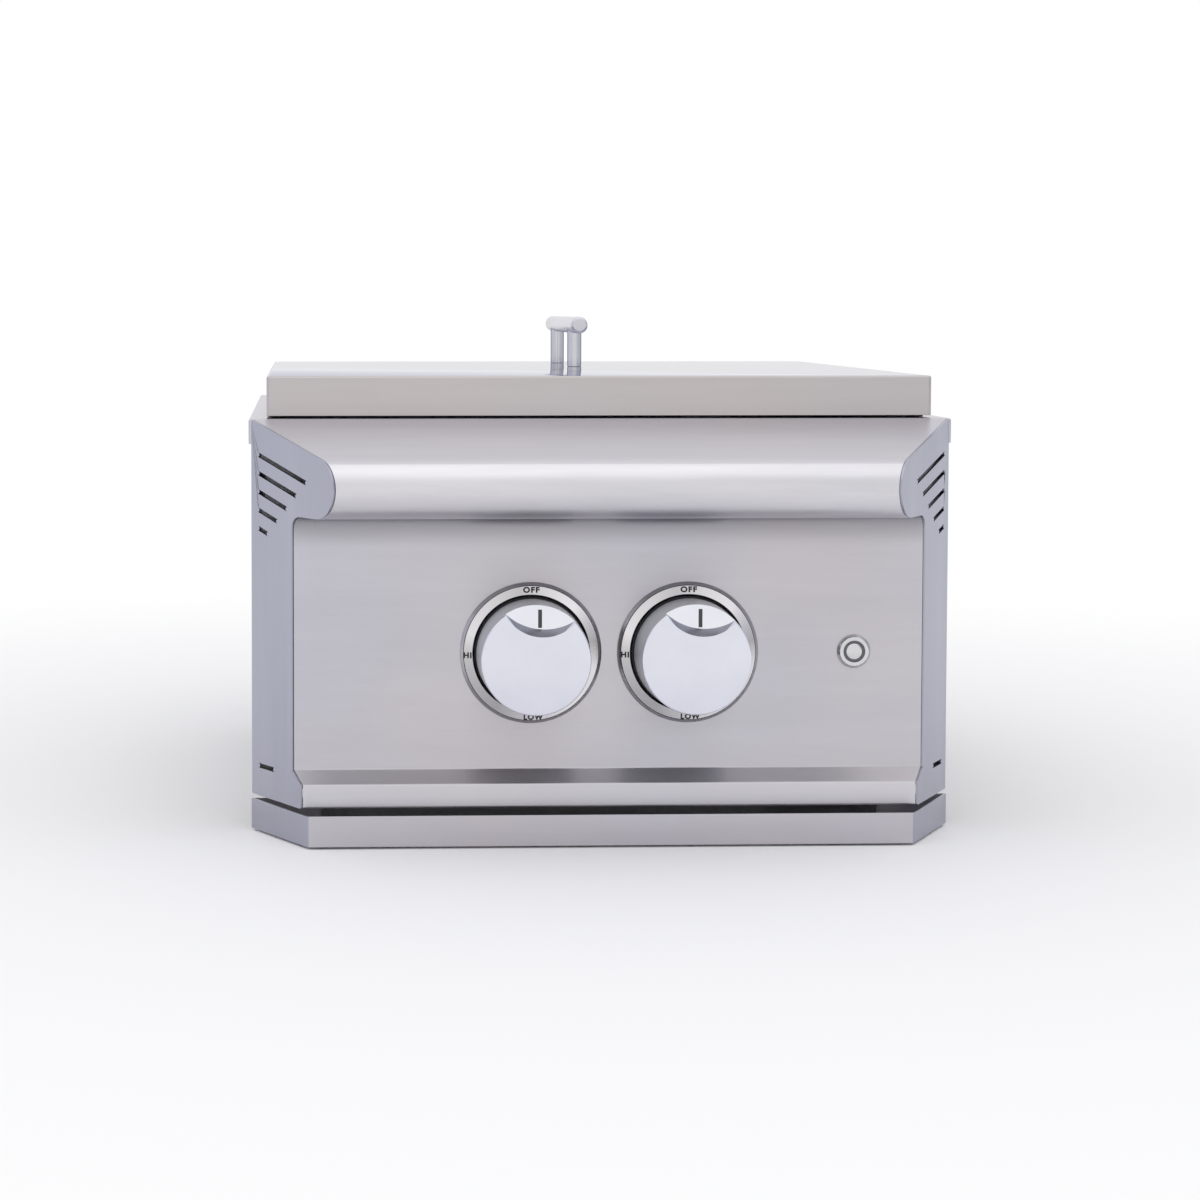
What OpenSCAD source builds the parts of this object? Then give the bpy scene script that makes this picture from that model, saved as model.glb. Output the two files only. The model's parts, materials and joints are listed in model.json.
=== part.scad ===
// Built-in power burner for an outdoor kitchen: a lift-off lid over a two-ring gas burner,
// with a sloping bullnose control housing in front and a drip tray that slides out below.
// X is to the right, Y to the back and Z up. The origin is on the ground, under the middle
// of the overall depth and width. Lengths are in millimetres.

/* [Deck] */
// Overall width of the deck
deck_w = 514; // [490:1:540]
// Depth of the deck behind the control housing
deck_d = 522; // [500:1:560]
// Height of the deck above the ground
deck_top = 300; // [290:1:315]
// Thickness of the deck sheet
deck_t = 1.5; // [1.2:0.1:2.5]
// Height of the folded rim of the deck
deck_drop = 18; // [14:1:24]
// Width of the return that rests on the counter
deck_return = 14; // [10:1:18]

/* [Control housing] */
// Distance of each side of the control housing inside the side of the deck
housing_side = 2; // [1:0.5:4]
// Angle between each end cap and the depth axis
cap_angle = 29.5; // [24:0.5:33]
// Thickness of the housing sheet
sheet = 1.5; // [1.2:0.1:2]
// Distance of the bullnose front from the deck
nose_reach = 103; // [98:1:115]
// Radius of the bullnose
nose_r = 21.5; // [18:0.5:24]
// Slope of the hood from the deck to the bullnose
hood_fall = 15.4; // [12:0.2:18]
// Distance of the control panel from the deck
panel_reach = 51.5; // [50:0.5:56]
// Radius between the bullnose underside and the panel
fillet_r = 10; // [6:0.5:12]
// Distance of the kick strip from the deck
kick_reach = 62.5; // [58:0.5:70]
// Height where the panel turns out to the kick strip
panel_foot = 53; // [50:1:60]
// Height of the top of the kick strip
kick_top = 44; // [40:1:46]
// Height of the bottom of the kick strip
kick_bottom = 27; // [26:0.5:30]
// Width of the folded return under the kick strip
kick_return = 12; // [8:1:16]
// Thickness of the heat shield behind the housing
shield_t = 1.2; // [1:0.1:2]
// Height of the lower edge of the heat shield
shield_foot = 30; // [28:1:60]

/* [Vents] */
// Number of sloping vents in each end cap
vent_count = 5; // [3:1:6]
// Height between neighbouring vents
vent_pitch = 13.3; // [11:0.1:14]
// Width of a vent
vent_w = 3.4; // [2:0.1:4]
// Depth covered by the longest vent
vent_run = 65; // [56:1:66]
// Loss of depth from each vent to the next one down
vent_step = 12.2; // [9:0.1:13]
// Distance of the vents from the back edge of the cap
vent_inset = 7.2; // [6:0.1:12]
// Drop from the deck to the back end of the first vent
vent_drop = 25; // [23:0.5:28]
// Height of the level vent near the foot
foot_vent_z = 49; // [46:1:56]
// Depth covered by the level vent
foot_vent_run = 24; // [18:1:30]

/* [Knobs] */
// Distance between the two knob centres
knob_gap = 112; // [106:1:124]
// Height of the knob centres
knob_z = 136; // [130:1:142]
// Radius of a knob at its face
knob_r = 38.3; // [34:0.1:39]
// Growth of the knob radius towards its back
knob_flare = 1; // [0:0.1:1.5]
// Distance of the knob face from the panel
knob_reach = 46; // [40:0.5:50]
// Distance of the knob back from the panel
knob_back = 7.5; // [7.5:0.5:9]
// Wall of a knob
knob_wall = 4; // [3:0.5:6]
// Rounding of the edge of the knob face
knob_edge = 1.2; // [0.6:0.1:2]
// Radius of the scoop cut into the knob face
scoop_r = 30; // [26:0.5:34]
// Distance from the knob centre to the scoop edge
scoop_start = 16.8; // [14:0.2:20]
// Depth of the scoop
scoop_depth = 6; // [4:0.5:9]
// Width of the pointer line
pointer_w = 2.7; // [2:0.1:4]
// Distance from the scoop edge to the pointer line
pointer_gap = 6; // [4:0.5:7]
// Distance from the pointer line to the edge of the knob
pointer_rim = 3; // [2:0.5:4]
// Turn of the pointers past the top mark at rest, in degrees
knob_turn = 6; // [0:0.5:8]
// Depth that a knob travels when it is pushed
push_travel = 4; // [2:0.5:4]
// Outer radius of a bezel
bezel_r = 50.4; // [47:0.1:52]
// Width of the raised ring of a bezel
bezel_band = 10; // [7:0.1:10]
// Height of the raised ring above the panel
bezel_h = 5.2; // [4:0.1:6.5]
// Thickness of the bezel plate behind the knob
bezel_plate = 1.2; // [0.8:0.1:1.6]

/* [Push button] */
// Distance of the button from the middle of the panel
button_x = 175; // [160:1:180]
// Radius of the button flange
button_flange_r = 12; // [11:0.5:14]
// Height of the button flange above the panel
button_flange_h = 3.4; // [2.8:0.1:4]
// Outer radius of the light ring round the button
light_ring_r = 7.7; // [7:0.1:8.5]
// Radius of the button cap
button_r = 5.7; // [4.5:0.1:6]
// Radius of the threaded barrel behind the flange
barrel_r = 9.4; // [9:0.1:10]
// Length of the barrel behind the panel face
barrel_len = 24; // [18:1:30]
// Travel of the button cap
button_travel = 2; // [1:0.1:2.5]

/* [Gas train] */
// Outer radius of the manifold pipe
manifold_r = 10.65; // [9:0.05:12]
// Wall of the manifold pipe
manifold_wall = 2.7; // [2:0.1:3.5]
// Distance of the manifold axis below the knob centres
manifold_drop = 32; // [30:1:36]
// Distance of the manifold axis from the deck
manifold_reach = 24; // [22:0.5:26]
// Distance of the left manifold end from the middle
manifold_left = 90; // [82:1:100]
// Length of the manifold past the supply pipe
manifold_past = 8; // [4:1:9]
// Outer radius of the supply pipe from the manifold to the gas inlet
supply_r = 8.6; // [8:0.1:9]
// Distance of the gas inlet from the side of the deck
inlet_side = 35; // [34:0.5:36]
// Distance of the gas inlet behind the heat shield
inlet_back = 22; // [20:0.5:23]
// Outer radius of the free thread of the gas inlet
inlet_r = 7.9; // [7:0.1:8.4]
// Length of the free thread of the gas inlet
inlet_thread = 16; // [12:1:18]
// Radius of a valve body
valve_r = 14; // [12.5:0.5:15]
// Radius of the turning plug in a valve
plug_r = 8; // [7:0.1:9]
// Length of the turning plug
plug_len = 14; // [12:0.5:16]
// Radius of a valve stem
stem_r = 3; // [2.5:0.1:3.5]

/* [Burner] */
// Middle radius of the outer burner ring
outer_ring_r = 97; // [90:1:110]
// Middle radius of the inner burner ring
inner_ring_r = 56; // [54:1:62]
// Width of a burner ring
ring_w = 28; // [26:1:30]
// Height of a burner ring
ring_h = 26; // [22:1:32]
// Height of the straight sides of a burner ring
ring_side_h = 18; // [15:0.5:18]
// Width of the flat top of a burner ring
ring_top_w = 14; // [10:0.5:18]
// Wall of a burner ring
ring_wall = 3; // [2.5:0.1:4]
// Height of the underside of the burner rings
ring_foot = 200; // [190:1:206]
// Number of ports in the outer ring
outer_ports = 36; // [24:1:40]
// Number of ports in the inner ring
inner_ports = 22; // [14:1:26]
// Radius of a burner port
port_r = 1.6; // [1:0.1:2]
// Outer radius of a venturi tube
venturi_r = 16; // [15:0.5:17]
// Wall of a venturi tube
venturi_wall = 1.5; // [1:0.1:2]
// Outer radius of the neck under a ring
neck_r = 12.5; // [11:0.5:12.5]
// Length of an air shutter sleeve
shutter_len = 18; // [14:1:22]
// Wall of an air shutter sleeve
shutter_wall = 1.2; // [0.8:0.1:1.8]

/* [Firebox] */
// Distance of the burner and lid behind the middle of the deck
burner_shift = 3; // [0:0.5:3.5]
// Distance of the firebox sides from the sides of the deck
firebox_side = 37; // [34:0.5:42]
// Distance of the firebox front and back from those of the deck, before the burner is set back
firebox_end = 41; // [37:0.5:46]
// Height of the underside of the firebox
firebox_foot = 36; // [34:1:42]
// Thickness of the firebox sheet
firebox_t = 1.2; // [1:0.1:2]
// Width of the flange at the top of the firebox
firebox_flange = 12; // [8:1:13]
// Radius of the drain hole over the tray
drain_r = 70; // [50:1:90]
// Height of the underside of the grate
grate_foot = 262; // [256:1:264]
// Height of the grate bars
grate_h = 12; // [9:0.5:14]
// Width of the grate bars
grate_bar = 9; // [8:0.5:12]
// Gap between the grate and the firebox wall
grate_gap = 10; // [6:0.5:12]
// Radius of the opening for the wok ring
wok_r = 110; // [100:1:120]
// Number of bars between the grate frame and its ring
grate_spokes = 16; // [8:4:20]
// Number of fingers on the wok ring
wok_fingers = 6; // [4:1:8]

/* [Lid] */
// Distance of the lid sides from the sides of the deck
lid_side = 13; // [7:0.5:22]
// Distance of the lid front and back from those of the deck, before the burner is set back
lid_end = 5; // [3.5:0.5:16]
// Height of the lid
lid_h = 29; // [26:1:36]
// Thickness of the lid sheet
lid_t = 1.2; // [1:0.1:2]
// Width of the hem inside the lower edge of the lid
lid_hem = 12; // [9:0.5:15]
// Height of the rubber feet under the lid
foot_h = 1.7; // [1.2:0.1:3]
// Radius of the handle bar
handle_r = 6.5; // [5.5:0.1:8]
// Length of the handle bar
handle_len = 220; // [190:5:260]
// Distance between the handle posts
post_gap = 140; // [120:1:150]
// Radius of a handle post
post_r = 5.6; // [5:0.1:6.5]
// Height of the handle bar axis above the lid
handle_rise = 36; // [32:1:45]

/* [Drip tray] */
// Height of the drip tray walls
tray_h = 22; // [18:0.5:22]
// Thickness of the drip tray sheet
tray_t = 1.2; // [1:0.1:1.6]
// Distance of the tray front from the deck
tray_reach = 73; // [70:0.5:80]
// Distance of the tray's back corners inside the sides of the deck
tray_side = 1; // [0:0.5:12]
// Distance of the part of the tray under the firebox from the firebox sides
tray_inset = 15; // [12:0.5:25]
// Distance of the tray's back from the back of the deck
tray_back = 52; // [42:1:82]
// Thickness of the tray rails
rail_t = 1.2; // [1:0.1:1.2]
// Width of the rail lip under the tray
rail_lip = 14; // [10:1:18]

/* [Clearances] */
// Radial clearance of turning and sliding fits
running_gap = 0.06; // [0.03:0.01:0.08]
// Gap between pieces that rest on each other but move apart
rest_gap = 0.3; // [0.2:0.05:0.4]
// Gap round a screw in its hole
screw_gap = 0.1; // [0.05:0.05:0.3]
// Side gap between the tray and its rails
tray_gap = 1; // [0.5:0.1:1.5]

/* [Hidden] */
$fn = 72;
// Smallest overlap that a cutting tool reaches past a face
cut = 1;
// Widths and depths that follow the deck
housing_w = deck_w - 2 * housing_side;
firebox_w = deck_w - 2 * firebox_side;
firebox_d = deck_d - 2 * firebox_end;
lid_w = deck_w - 2 * lid_side;
lid_d = deck_d - 2 * lid_end;
tray_w = deck_w - 2 * tray_side;
tray_inner_w = firebox_w - 2 * tray_inset;
tray_run = deck_d - tray_back;
inlet_x = deck_w / 2 - inlet_side;
manifold_right = inlet_x + manifold_past;
// Half of the overall depth, from the bullnose to the back of the deck
half_d = (nose_reach + deck_d) / 2;
// Plane where the control housing meets the deck
seam_y = nose_reach - half_d;
// Middle of the lid, firebox and burner
mid_y = seam_y + deck_d / 2 + burner_shift;
// Centre and lowest point of the bullnose
nose_y = nose_r - nose_reach;
nose_z = deck_top + nose_y * tan(hood_fall) - nose_r / cos(hood_fall);
under_z = nose_z - nose_r;
kick_slope = atan2(panel_foot - kick_top, kick_reach - panel_reach);
cap_skin = sheet / cos(cap_angle);
cap_depth = nose_reach + cut;
cap_sweep = cap_depth * tan(cap_angle);
// A length that reaches past both sides of the housing
wide = housing_w + 2 * deck_return;
panel_y = seam_y - panel_reach;
panel_in_y = panel_y + sheet;
knob_xs = [-knob_gap / 2, knob_gap / 2];
bezel_bore = bezel_r - bezel_band;
bezel_side_h = 1.2;
bezel_slope_h = 3.8;
bezel_step = 2.6;
bezel_crest = 1.5;
bezel_lip = 0.8;
scoop_lean = 4;
scoop_y = scoop_start + scoop_r;
pointer_t = 0.4;
pointer_start = scoop_start + pointer_gap;
pointer_len = knob_r - pointer_rim - pointer_start;
// Depth of the hollow inside a knob, the hub round the stem and the stem's seat in the front wall
knob_hollow = knob_reach - knob_back - scoop_depth - knob_wall;
hub_wall = 5;
stem_seat = 2;
// Hole for the stem through the panel and the bezel
stem_hole_r = stem_r + 3;
// Depths of the valve parts behind the panel, measured from its inner face
bonnet_t = 6;
valve_back_wall = 4;
valve_len = 38;
plug_back = valve_len - valve_back_wall - rest_gap;
plug_front = plug_back - plug_len;
plug_floor = 2;
plug_bore = plug_len - plug_floor;
stem_end_gap = 1;
spring_r = plug_r - 2;
collar_r = plug_r - 1;
collar_t = 1.5;
spring_len = plug_front - bonnet_t - collar_t - push_travel - 2 * rest_gap;
collar_front = bonnet_t + rest_gap;
valve_flange_w = 60;
valve_flange_h = 26;
valve_flange_t = 3;
valve_screw_gap = 48;
screw_r = 2;
screw_head_r = 3.6;
screw_head_t = 1.5;
screw_end = 3;
manifold_y = seam_y - manifold_reach;
manifold_z = knob_z - manifold_drop;
boss_r = 9;
boss_rise = 5;
boss_top = manifold_z + manifold_r + boss_rise;
valve_neck_r = 8;
inlet_y = seam_y + inlet_back;
inlet_drop = 20;
inlet_hex_r = 12;
inlet_hex_h = 9;
inlet_bore = 4.8;
supply_wall = 2.3;
supply_gap = 1;
spud_r = 6.5;
spud_len = 5;
spud_tip_r = 4;
spud_tip_len = 6;
spud_bore = 0.8;
venturi_mouth = 8;
venturi_gap = 1;
firebox_front = mid_y - firebox_d / 2;
firebox_in_w = firebox_w - 2 * firebox_t;
firebox_in_d = firebox_d - 2 * firebox_t;
firebox_top = deck_top - deck_t;
deck_lip = 3;
outer_neck_dy = -sqrt(outer_ring_r * outer_ring_r - knob_gap * knob_gap / 4);
inner_neck_x = min(inner_ring_r, knob_gap / 2);
inner_neck_dy = sqrt(inner_ring_r * inner_ring_r - inner_neck_x * inner_neck_x);
support_w = 20;
support_y = 35;
support_t = 1.5;
support_flange = 24;
ledge_w = 20;
ledge_drop = 22;
ledge_t = 1.5;
ledge_inset = 21;
rear_slots = 5;
rear_slot_pitch = 73;
rear_slot_w = 49;
rear_slot_h = 8;
rear_slot_drop = 20;
shutter_start = 4;
shutter_window = 8;
shutter_window_h = 14;
rear_slot_z = grate_foot - rear_slot_drop;
grate_w = firebox_in_w - 2 * grate_gap;
grate_d = firebox_in_d - 2 * grate_gap;
wok_step = 6;
wok_h = grate_h / 2;
wok_gap = 0.4;
wok_band = 8;
wok_finger_len = 50;
lid_foot = deck_top + rest_gap + foot_h;
lid_top = lid_foot + lid_h;
foot_w = 8;
foot_len = 24;
post_bore = 10;
nut_t = 4;
nut_rim = 4.5;
// Depth of the button's well and of its cap below the flange, and of the light ring in the well
button_well = button_travel + 4;
button_depth = button_travel + 6;
light_ring_drop = 0.6;
flange_side_h = 1;
flange_step = 1.8;
handle_edge = 1;
tray_foot = rail_t + rest_gap;
rail_x = tray_inner_w / 2 + tray_gap;
rail_flange = 11;
rail_inset = 8;
rail_len = firebox_d - 2 * rail_inset;
rail_screw_inset = 40;
electrode_r = 4;
electrode_len = 46;
electrode_tip_r = 1;
electrode_tip = 9;
electrode_gap = 4;
electrode_y = mid_y - outer_ring_r - ring_w / 2 - electrode_gap - electrode_r;
electrode_bracket_z = ring_foot - 14;
electrode_bracket_w = 20;

STEEL = "silver";
BRIGHT = "gainsboro";
DARK = "dimgray";
BRASS = "goldenrod";

// Extrudes an outline drawn in depth and height along the width
module along_x(length) {
    rotate([90, 0, 90])
        linear_extrude(length, center = true)
            children();
}

// Places a part drawn with its axis on Z so that its top faces the front
module facing_front(x, y, z) {
    translate([x, y, z])
        rotate([90, 0, 0])
            children();
}

// A tube or ring with a true bore
module tube(outer, inner, height) {
    difference() {
        cylinder(r = outer, h = height);
        translate([0, 0, -cut])
            cylinder(r = inner, h = height + 2 * cut);
    }
}

// A plate with its middle on the origin
module plate(w, d, t) {
    translate([-w / 2, -d / 2, 0])
        cube([w, d, t]);
}

// A round pan head screw, its head above the origin and its shank below
module screw(shank) {
    union() {
        cylinder(r = screw_head_r, h = screw_head_t);
        translate([0, 0, -shank])
            cylinder(r = screw_r, h = shank + screw_head_t / 2);
    }
}

// Outline of the control housing, moved in from its outer faces by d
module housing_section(d) {
    top = deck_top - d / cos(hood_fall);
    tangent_y = nose_y - (nose_r - d) * sin(hood_fall);
    tangent_z = nose_z + (nose_r - d) * cos(hood_fall);
    fillet_y = -panel_reach - fillet_r;
    fillet_z = under_z - fillet_r;
    mitre = d * (1 - sin(kick_slope)) / cos(kick_slope);
    union() {
        polygon([
            [d, top + d * tan(hood_fall)],
            [tangent_y, tangent_z],
            [nose_y, nose_z],
            [nose_y, under_z + d],
            [fillet_y, under_z + d],
            [-panel_reach + d, under_z + d],
            [-panel_reach + d, panel_foot - mitre],
            [-kick_reach + d, kick_top - mitre],
            [-kick_reach + d, kick_bottom + d],
            [d, kick_bottom + d]
        ]);
        translate([nose_y, nose_z])
            circle(r = nose_r - d);
        difference() {
            translate([fillet_y, fillet_z])
                square([fillet_r + d + cut, fillet_r + d + cut]);
            translate([fillet_y, fillet_z])
                circle(r = fillet_r + d);
        }
    }
}

// Plan between the inner faces of the two end caps
module between_caps() {
    back = housing_w / 2 - cap_skin;
    front = back - cap_sweep;
    translate([0, seam_y, 0])
        linear_extrude(deck_top + cut)
            polygon([[-back, 0], [back, 0], [front, -cap_depth], [-front, -cap_depth]]);
}

// Plan of one end cap, on the right for side 1 and on the left for side -1
module cap_plan(side) {
    outer = housing_w / 2;
    translate([0, seam_y, 0])
        linear_extrude(deck_top + cut)
            polygon([
                [side * outer, 0],
                [side * (outer - cap_sweep), -cap_depth],
                [side * (outer - cap_sweep - cap_skin), -cap_depth],
                [side * (outer - cap_skin), 0]
            ]);
}

// Formed sheet of the housing before it is parted into hood and panel
module housing_skin() {
    lip_y = -kick_reach + kick_return;
    intersection() {
        translate([0, seam_y, 0])
            along_x(wide)
                difference() {
                    housing_section(0);
                    housing_section(sheet);
                    translate([lip_y, kick_bottom - cut])
                        square([kick_reach, sheet + 2 * cut]);
                }
        between_caps();
    }
}

// Space of the control panel: all below the bullnose, and the fillet behind it
module panel_space() {
    fillet_y = -panel_reach - fillet_r;
    translate([0, seam_y, 0])
        along_x(wide)
            polygon([
                [-nose_reach, 0],
                [cut, 0],
                [cut, under_z + nose_r / 4],
                [fillet_y, under_z + nose_r / 4],
                [fillet_y, under_z - fillet_r],
                [-nose_reach, under_z - fillet_r]
            ]);
}

module top_hood() {
    color(STEEL)
        difference() {
            housing_skin();
            panel_space();
        }
}

module control_panel() {
    color(STEEL)
        difference() {
            intersection() {
                housing_skin();
                panel_space();
            }
            for (x = knob_xs) {
                facing_front(x, panel_in_y + cut, knob_z)
                    cylinder(r = stem_hole_r, h = sheet + 2 * cut);
                for (side = [-1, 1])
                    facing_front(x + side * valve_screw_gap / 2, panel_in_y + cut, knob_z)
                        cylinder(r = screw_r + screw_gap, h = sheet + 2 * cut);
            }
            facing_front(button_x, panel_in_y + cut, knob_z)
                cylinder(r = barrel_r + screw_gap, h = sheet + 2 * cut);
        }
}

// One vent as an outline in depth and height, with its back end at y, z
module vent_outline(y, z, run, fall) {
    rise = vent_w / 2 / cos(fall);
    polygon([
        [y, z + rise],
        [y, z - rise],
        [y - run, z - run * tan(fall) - rise],
        [y - run, z - run * tan(fall) + rise]
    ]);
}

module end_cap(side) {
    color(STEEL)
        difference() {
            intersection() {
                translate([0, seam_y, 0])
                    along_x(wide)
                        housing_section(0);
                cap_plan(side);
            }
            translate([side * wide / 4, seam_y, 0])
                along_x(wide / 2) {
                    for (i = [0 : vent_count - 1])
                        vent_outline(
                            -vent_inset,
                            deck_top - vent_drop - i * vent_pitch,
                            vent_run - i * vent_step,
                            hood_fall
                        );
                    vent_outline(-vent_inset, foot_vent_z, foot_vent_run, 0);
                }
        }
}

module heat_shield() {
    color(DARK)
        difference() {
            intersection() {
                translate([0, seam_y, 0])
                    along_x(wide)
                        intersection() {
                            housing_section(sheet);
                            translate([-shield_t, shield_foot])
                                square([shield_t, deck_top]);
                        }
                between_caps();
            }
            for (x = knob_xs)
                facing_front(x, seam_y + cut, knob_z)
                    cylinder(r = venturi_r + venturi_gap, h = shield_t + 2 * cut);
            facing_front(inlet_x, seam_y + cut, manifold_z)
                cylinder(r = supply_r + supply_gap, h = shield_t + 2 * cut);
        }
}

// The deck: a flat ring with a folded rim all round and a return that rests on the counter
module deck_frame() {
    rim_foot = deck_top - deck_drop;
    opening_w = firebox_in_w - 2 * deck_lip;
    opening_d = firebox_in_d - 2 * deck_lip;
    color(STEEL)
        difference() {
            translate([0, seam_y + deck_d / 2, rim_foot])
                plate(deck_w, deck_d, deck_drop);
            translate([0, seam_y + deck_d / 2, rim_foot + deck_t])
                plate(deck_w - 2 * deck_t, deck_d - 2 * deck_t, deck_drop - 2 * deck_t);
            translate([-deck_w / 2 + deck_return, seam_y + deck_t, rim_foot - cut])
                cube([deck_w - 2 * deck_return, deck_d - deck_return - deck_t, deck_drop / 2]);
            translate([0, mid_y, deck_top - deck_t - cut])
                plate(opening_w, opening_d, deck_t + 2 * cut);
        }
}

module firebox() {
    flange_w = firebox_w + 2 * firebox_flange;
    flange_d = firebox_d + 2 * firebox_flange;
    color(STEEL)
        difference() {
            translate([0, mid_y, 0])
                union() {
                    translate([0, 0, firebox_foot])
                        plate(firebox_w, firebox_d, firebox_top - firebox_foot);
                    translate([0, 0, firebox_top - firebox_t])
                        plate(flange_w, flange_d, firebox_t);
                }
            translate([0, mid_y, firebox_foot + firebox_t])
                plate(firebox_in_w, firebox_in_d, firebox_top);
            translate([0, mid_y, firebox_foot - cut])
                cylinder(r = drain_r, h = firebox_t + 2 * cut);
            for (x = knob_xs)
                facing_front(x, firebox_front + firebox_t + cut, knob_z)
                    cylinder(r = venturi_r + venturi_gap, h = firebox_t + 2 * cut);
            for (i = [0 : rear_slots - 1])
                translate([rear_slot_pitch * (i - (rear_slots - 1) / 2), mid_y + firebox_d / 2, rear_slot_z])
                    plate(rear_slot_w, 4 * firebox_t, rear_slot_h);
            for (side = [-1, 1], dy = [-support_y, support_y])
                translate([side * firebox_w / 2, mid_y + dy, ring_foot - support_flange / 2])
                    rotate([0, 90, 0])
                        cylinder(r = screw_r + screw_gap, h = 4 * firebox_t, center = true);
            rail_screw_places()
                translate([0, 0, -cut])
                    cylinder(r = screw_r + screw_gap, h = firebox_t + 2 * cut);
        }
}

// Puts its children on the firebox floor at each of the rail screws
module rail_screw_places() {
    x = rail_x + rail_t + (rail_flange - rail_t) / 2;
    dy = rail_len / 2 - rail_screw_inset;
    for (side = [-1, 1], row = [-1, 1])
        translate([side * x, mid_y + row * dy, firebox_foot])
            children();
}

module grate_ledges() {
    color(DARK)
        for (side = [-1, 1])
            translate([side * (firebox_in_w / 2 - ledge_w / 2), mid_y, 0])
                difference() {
                    translate([0, 0, grate_foot - ledge_drop])
                        plate(ledge_w, grate_d - 2 * ledge_inset, ledge_drop);
                    translate([-side * ledge_t, 0, grate_foot - ledge_drop - ledge_t])
                        plate(ledge_w, grate_d, ledge_drop);
                }
}

// A bar that runs outwards from the burner axis between two radii
module spoke(inner, outer, angle, height) {
    rotate([0, 0, angle])
        translate([inner, -grate_bar / 2, 0])
            cube([outer - inner, grate_bar, height]);
}

module cooking_grate() {
    ring_out = wok_r + wok_band;
    color(DARK)
        translate([0, mid_y, grate_foot])
            difference() {
                union() {
                    difference() {
                        plate(grate_w, grate_d, grate_h);
                        translate([0, 0, -cut])
                            plate(grate_w - 2 * grate_bar, grate_d - 2 * grate_bar, grate_h + 2 * cut);
                    }
                    intersection() {
                        plate(grate_w, grate_d, grate_h);
                        for (i = [0 : grate_spokes - 1])
                            spoke(wok_r + wok_band / 2, grate_w, (i + 0.5) * 360 / grate_spokes, grate_h);
                    }
                    cylinder(r = ring_out, h = grate_h);
                }
                translate([0, 0, -cut])
                    cylinder(r = wok_r - wok_step, h = grate_h + 2 * cut);
                translate([0, 0, grate_h - wok_h])
                    cylinder(r = wok_r, h = grate_h);
            }
}

module wok_ring() {
    outer = wok_r - wok_gap;
    color(DARK)
        translate([0, mid_y, grate_foot + grate_h - wok_h])
            difference() {
                cylinder(r = outer, h = wok_h);
                difference() {
                    translate([0, 0, -cut])
                        cylinder(r = outer - wok_band, h = wok_h + 2 * cut);
                    for (i = [0 : wok_fingers - 1])
                        translate([0, 0, -2 * cut])
                            spoke(outer - wok_finger_len, outer, i * 360 / wok_fingers, wok_h + 4 * cut);
                }
            }
}

// A hollow burner ring with its ports and the hole over its neck at x, dy
module burner_ring(middle, ports, x, dy) {
    inside = ring_w / 2 - ring_wall;
    color(BRASS)
        translate([0, mid_y, ring_foot])
            difference() {
                rotate_extrude()
                    difference() {
                        polygon([
                            [middle - ring_w / 2, 0],
                            [middle + ring_w / 2, 0],
                            [middle + ring_w / 2, ring_side_h],
                            [middle + ring_top_w / 2, ring_h],
                            [middle - ring_top_w / 2, ring_h],
                            [middle - ring_w / 2, ring_side_h]
                        ]);
                        translate([middle - inside, ring_wall])
                            square([2 * inside, ring_side_h - ring_wall]);
                    }
                for (i = [0 : ports - 1])
                    rotate([0, 0, i * 360 / ports])
                        translate([middle, 0, ring_side_h - cut])
                            cylinder(r = port_r, h = ring_h);
                translate([x, dy, -cut])
                    cylinder(r = neck_r - venturi_wall, h = ring_wall + 2 * cut);
            }
}

module outer_burner_ring() {
    burner_ring(outer_ring_r, outer_ports, -knob_gap / 2, outer_neck_dy);
}

module inner_burner_ring() {
    burner_ring(inner_ring_r, inner_ports, inner_neck_x, inner_neck_dy);
}

// A venturi tube from its mouth behind the orifice to the neck under its ring
module venturi(x, neck_x, dy) {
    start = seam_y - venturi_mouth;
    end = mid_y + dy + neck_r + venturi_wall;
    bore = venturi_r - venturi_wall;
    difference() {
        union() {
            facing_front(x, end, knob_z)
                cylinder(r = venturi_r, h = end - start);
            translate([neck_x, mid_y + dy, knob_z])
                cylinder(r = neck_r, h = ring_foot - knob_z);
        }
        facing_front(x, end - venturi_wall, knob_z)
            cylinder(r = bore, h = end - start);
        translate([neck_x, mid_y + dy, knob_z])
            cylinder(r = neck_r - venturi_wall, h = ring_foot - knob_z + cut);
        shutter_windows(x, venturi_r);
    }
}

module outer_venturi() {
    color(STEEL)
        venturi(-knob_gap / 2, -knob_gap / 2, outer_neck_dy);
}

module inner_venturi() {
    color(STEEL)
        venturi(knob_gap / 2, inner_neck_x, inner_neck_dy);
}

// The two windows that let air into a venturi
module shutter_windows(x, radius) {
    middle = seam_y + shutter_start + shutter_len / 2;
    translate([x, middle, knob_z - shutter_window_h / 2])
        plate(4 * radius, shutter_window, shutter_window_h);
}

module air_shutter(x) {
    inner = venturi_r + running_gap;
    color(BRIGHT)
        difference() {
            facing_front(x, seam_y + shutter_start + shutter_len, knob_z)
                tube(inner + shutter_wall, inner, shutter_len);
            shutter_windows(x, venturi_r);
        }
}

module burner_supports() {
    flange_x = firebox_in_w / 2 - support_t;
    color(STEEL)
        for (dy = [-support_y, support_y])
            translate([0, mid_y + dy, 0])
                difference() {
                    union() {
                        translate([0, 0, ring_foot - support_t])
                            plate(firebox_in_w, support_w, support_t);
                        for (side = [-1, 1])
                            translate([side * (flange_x + support_t / 2), 0, ring_foot - support_flange])
                                plate(support_t, support_w, support_flange);
                    }
                    for (side = [-1, 1])
                        translate([side * flange_x, 0, ring_foot - support_flange / 2])
                            rotate([0, 90, 0])
                                cylinder(r = screw_r + screw_gap, h = 6 * support_t, center = true);
                }
}

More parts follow.
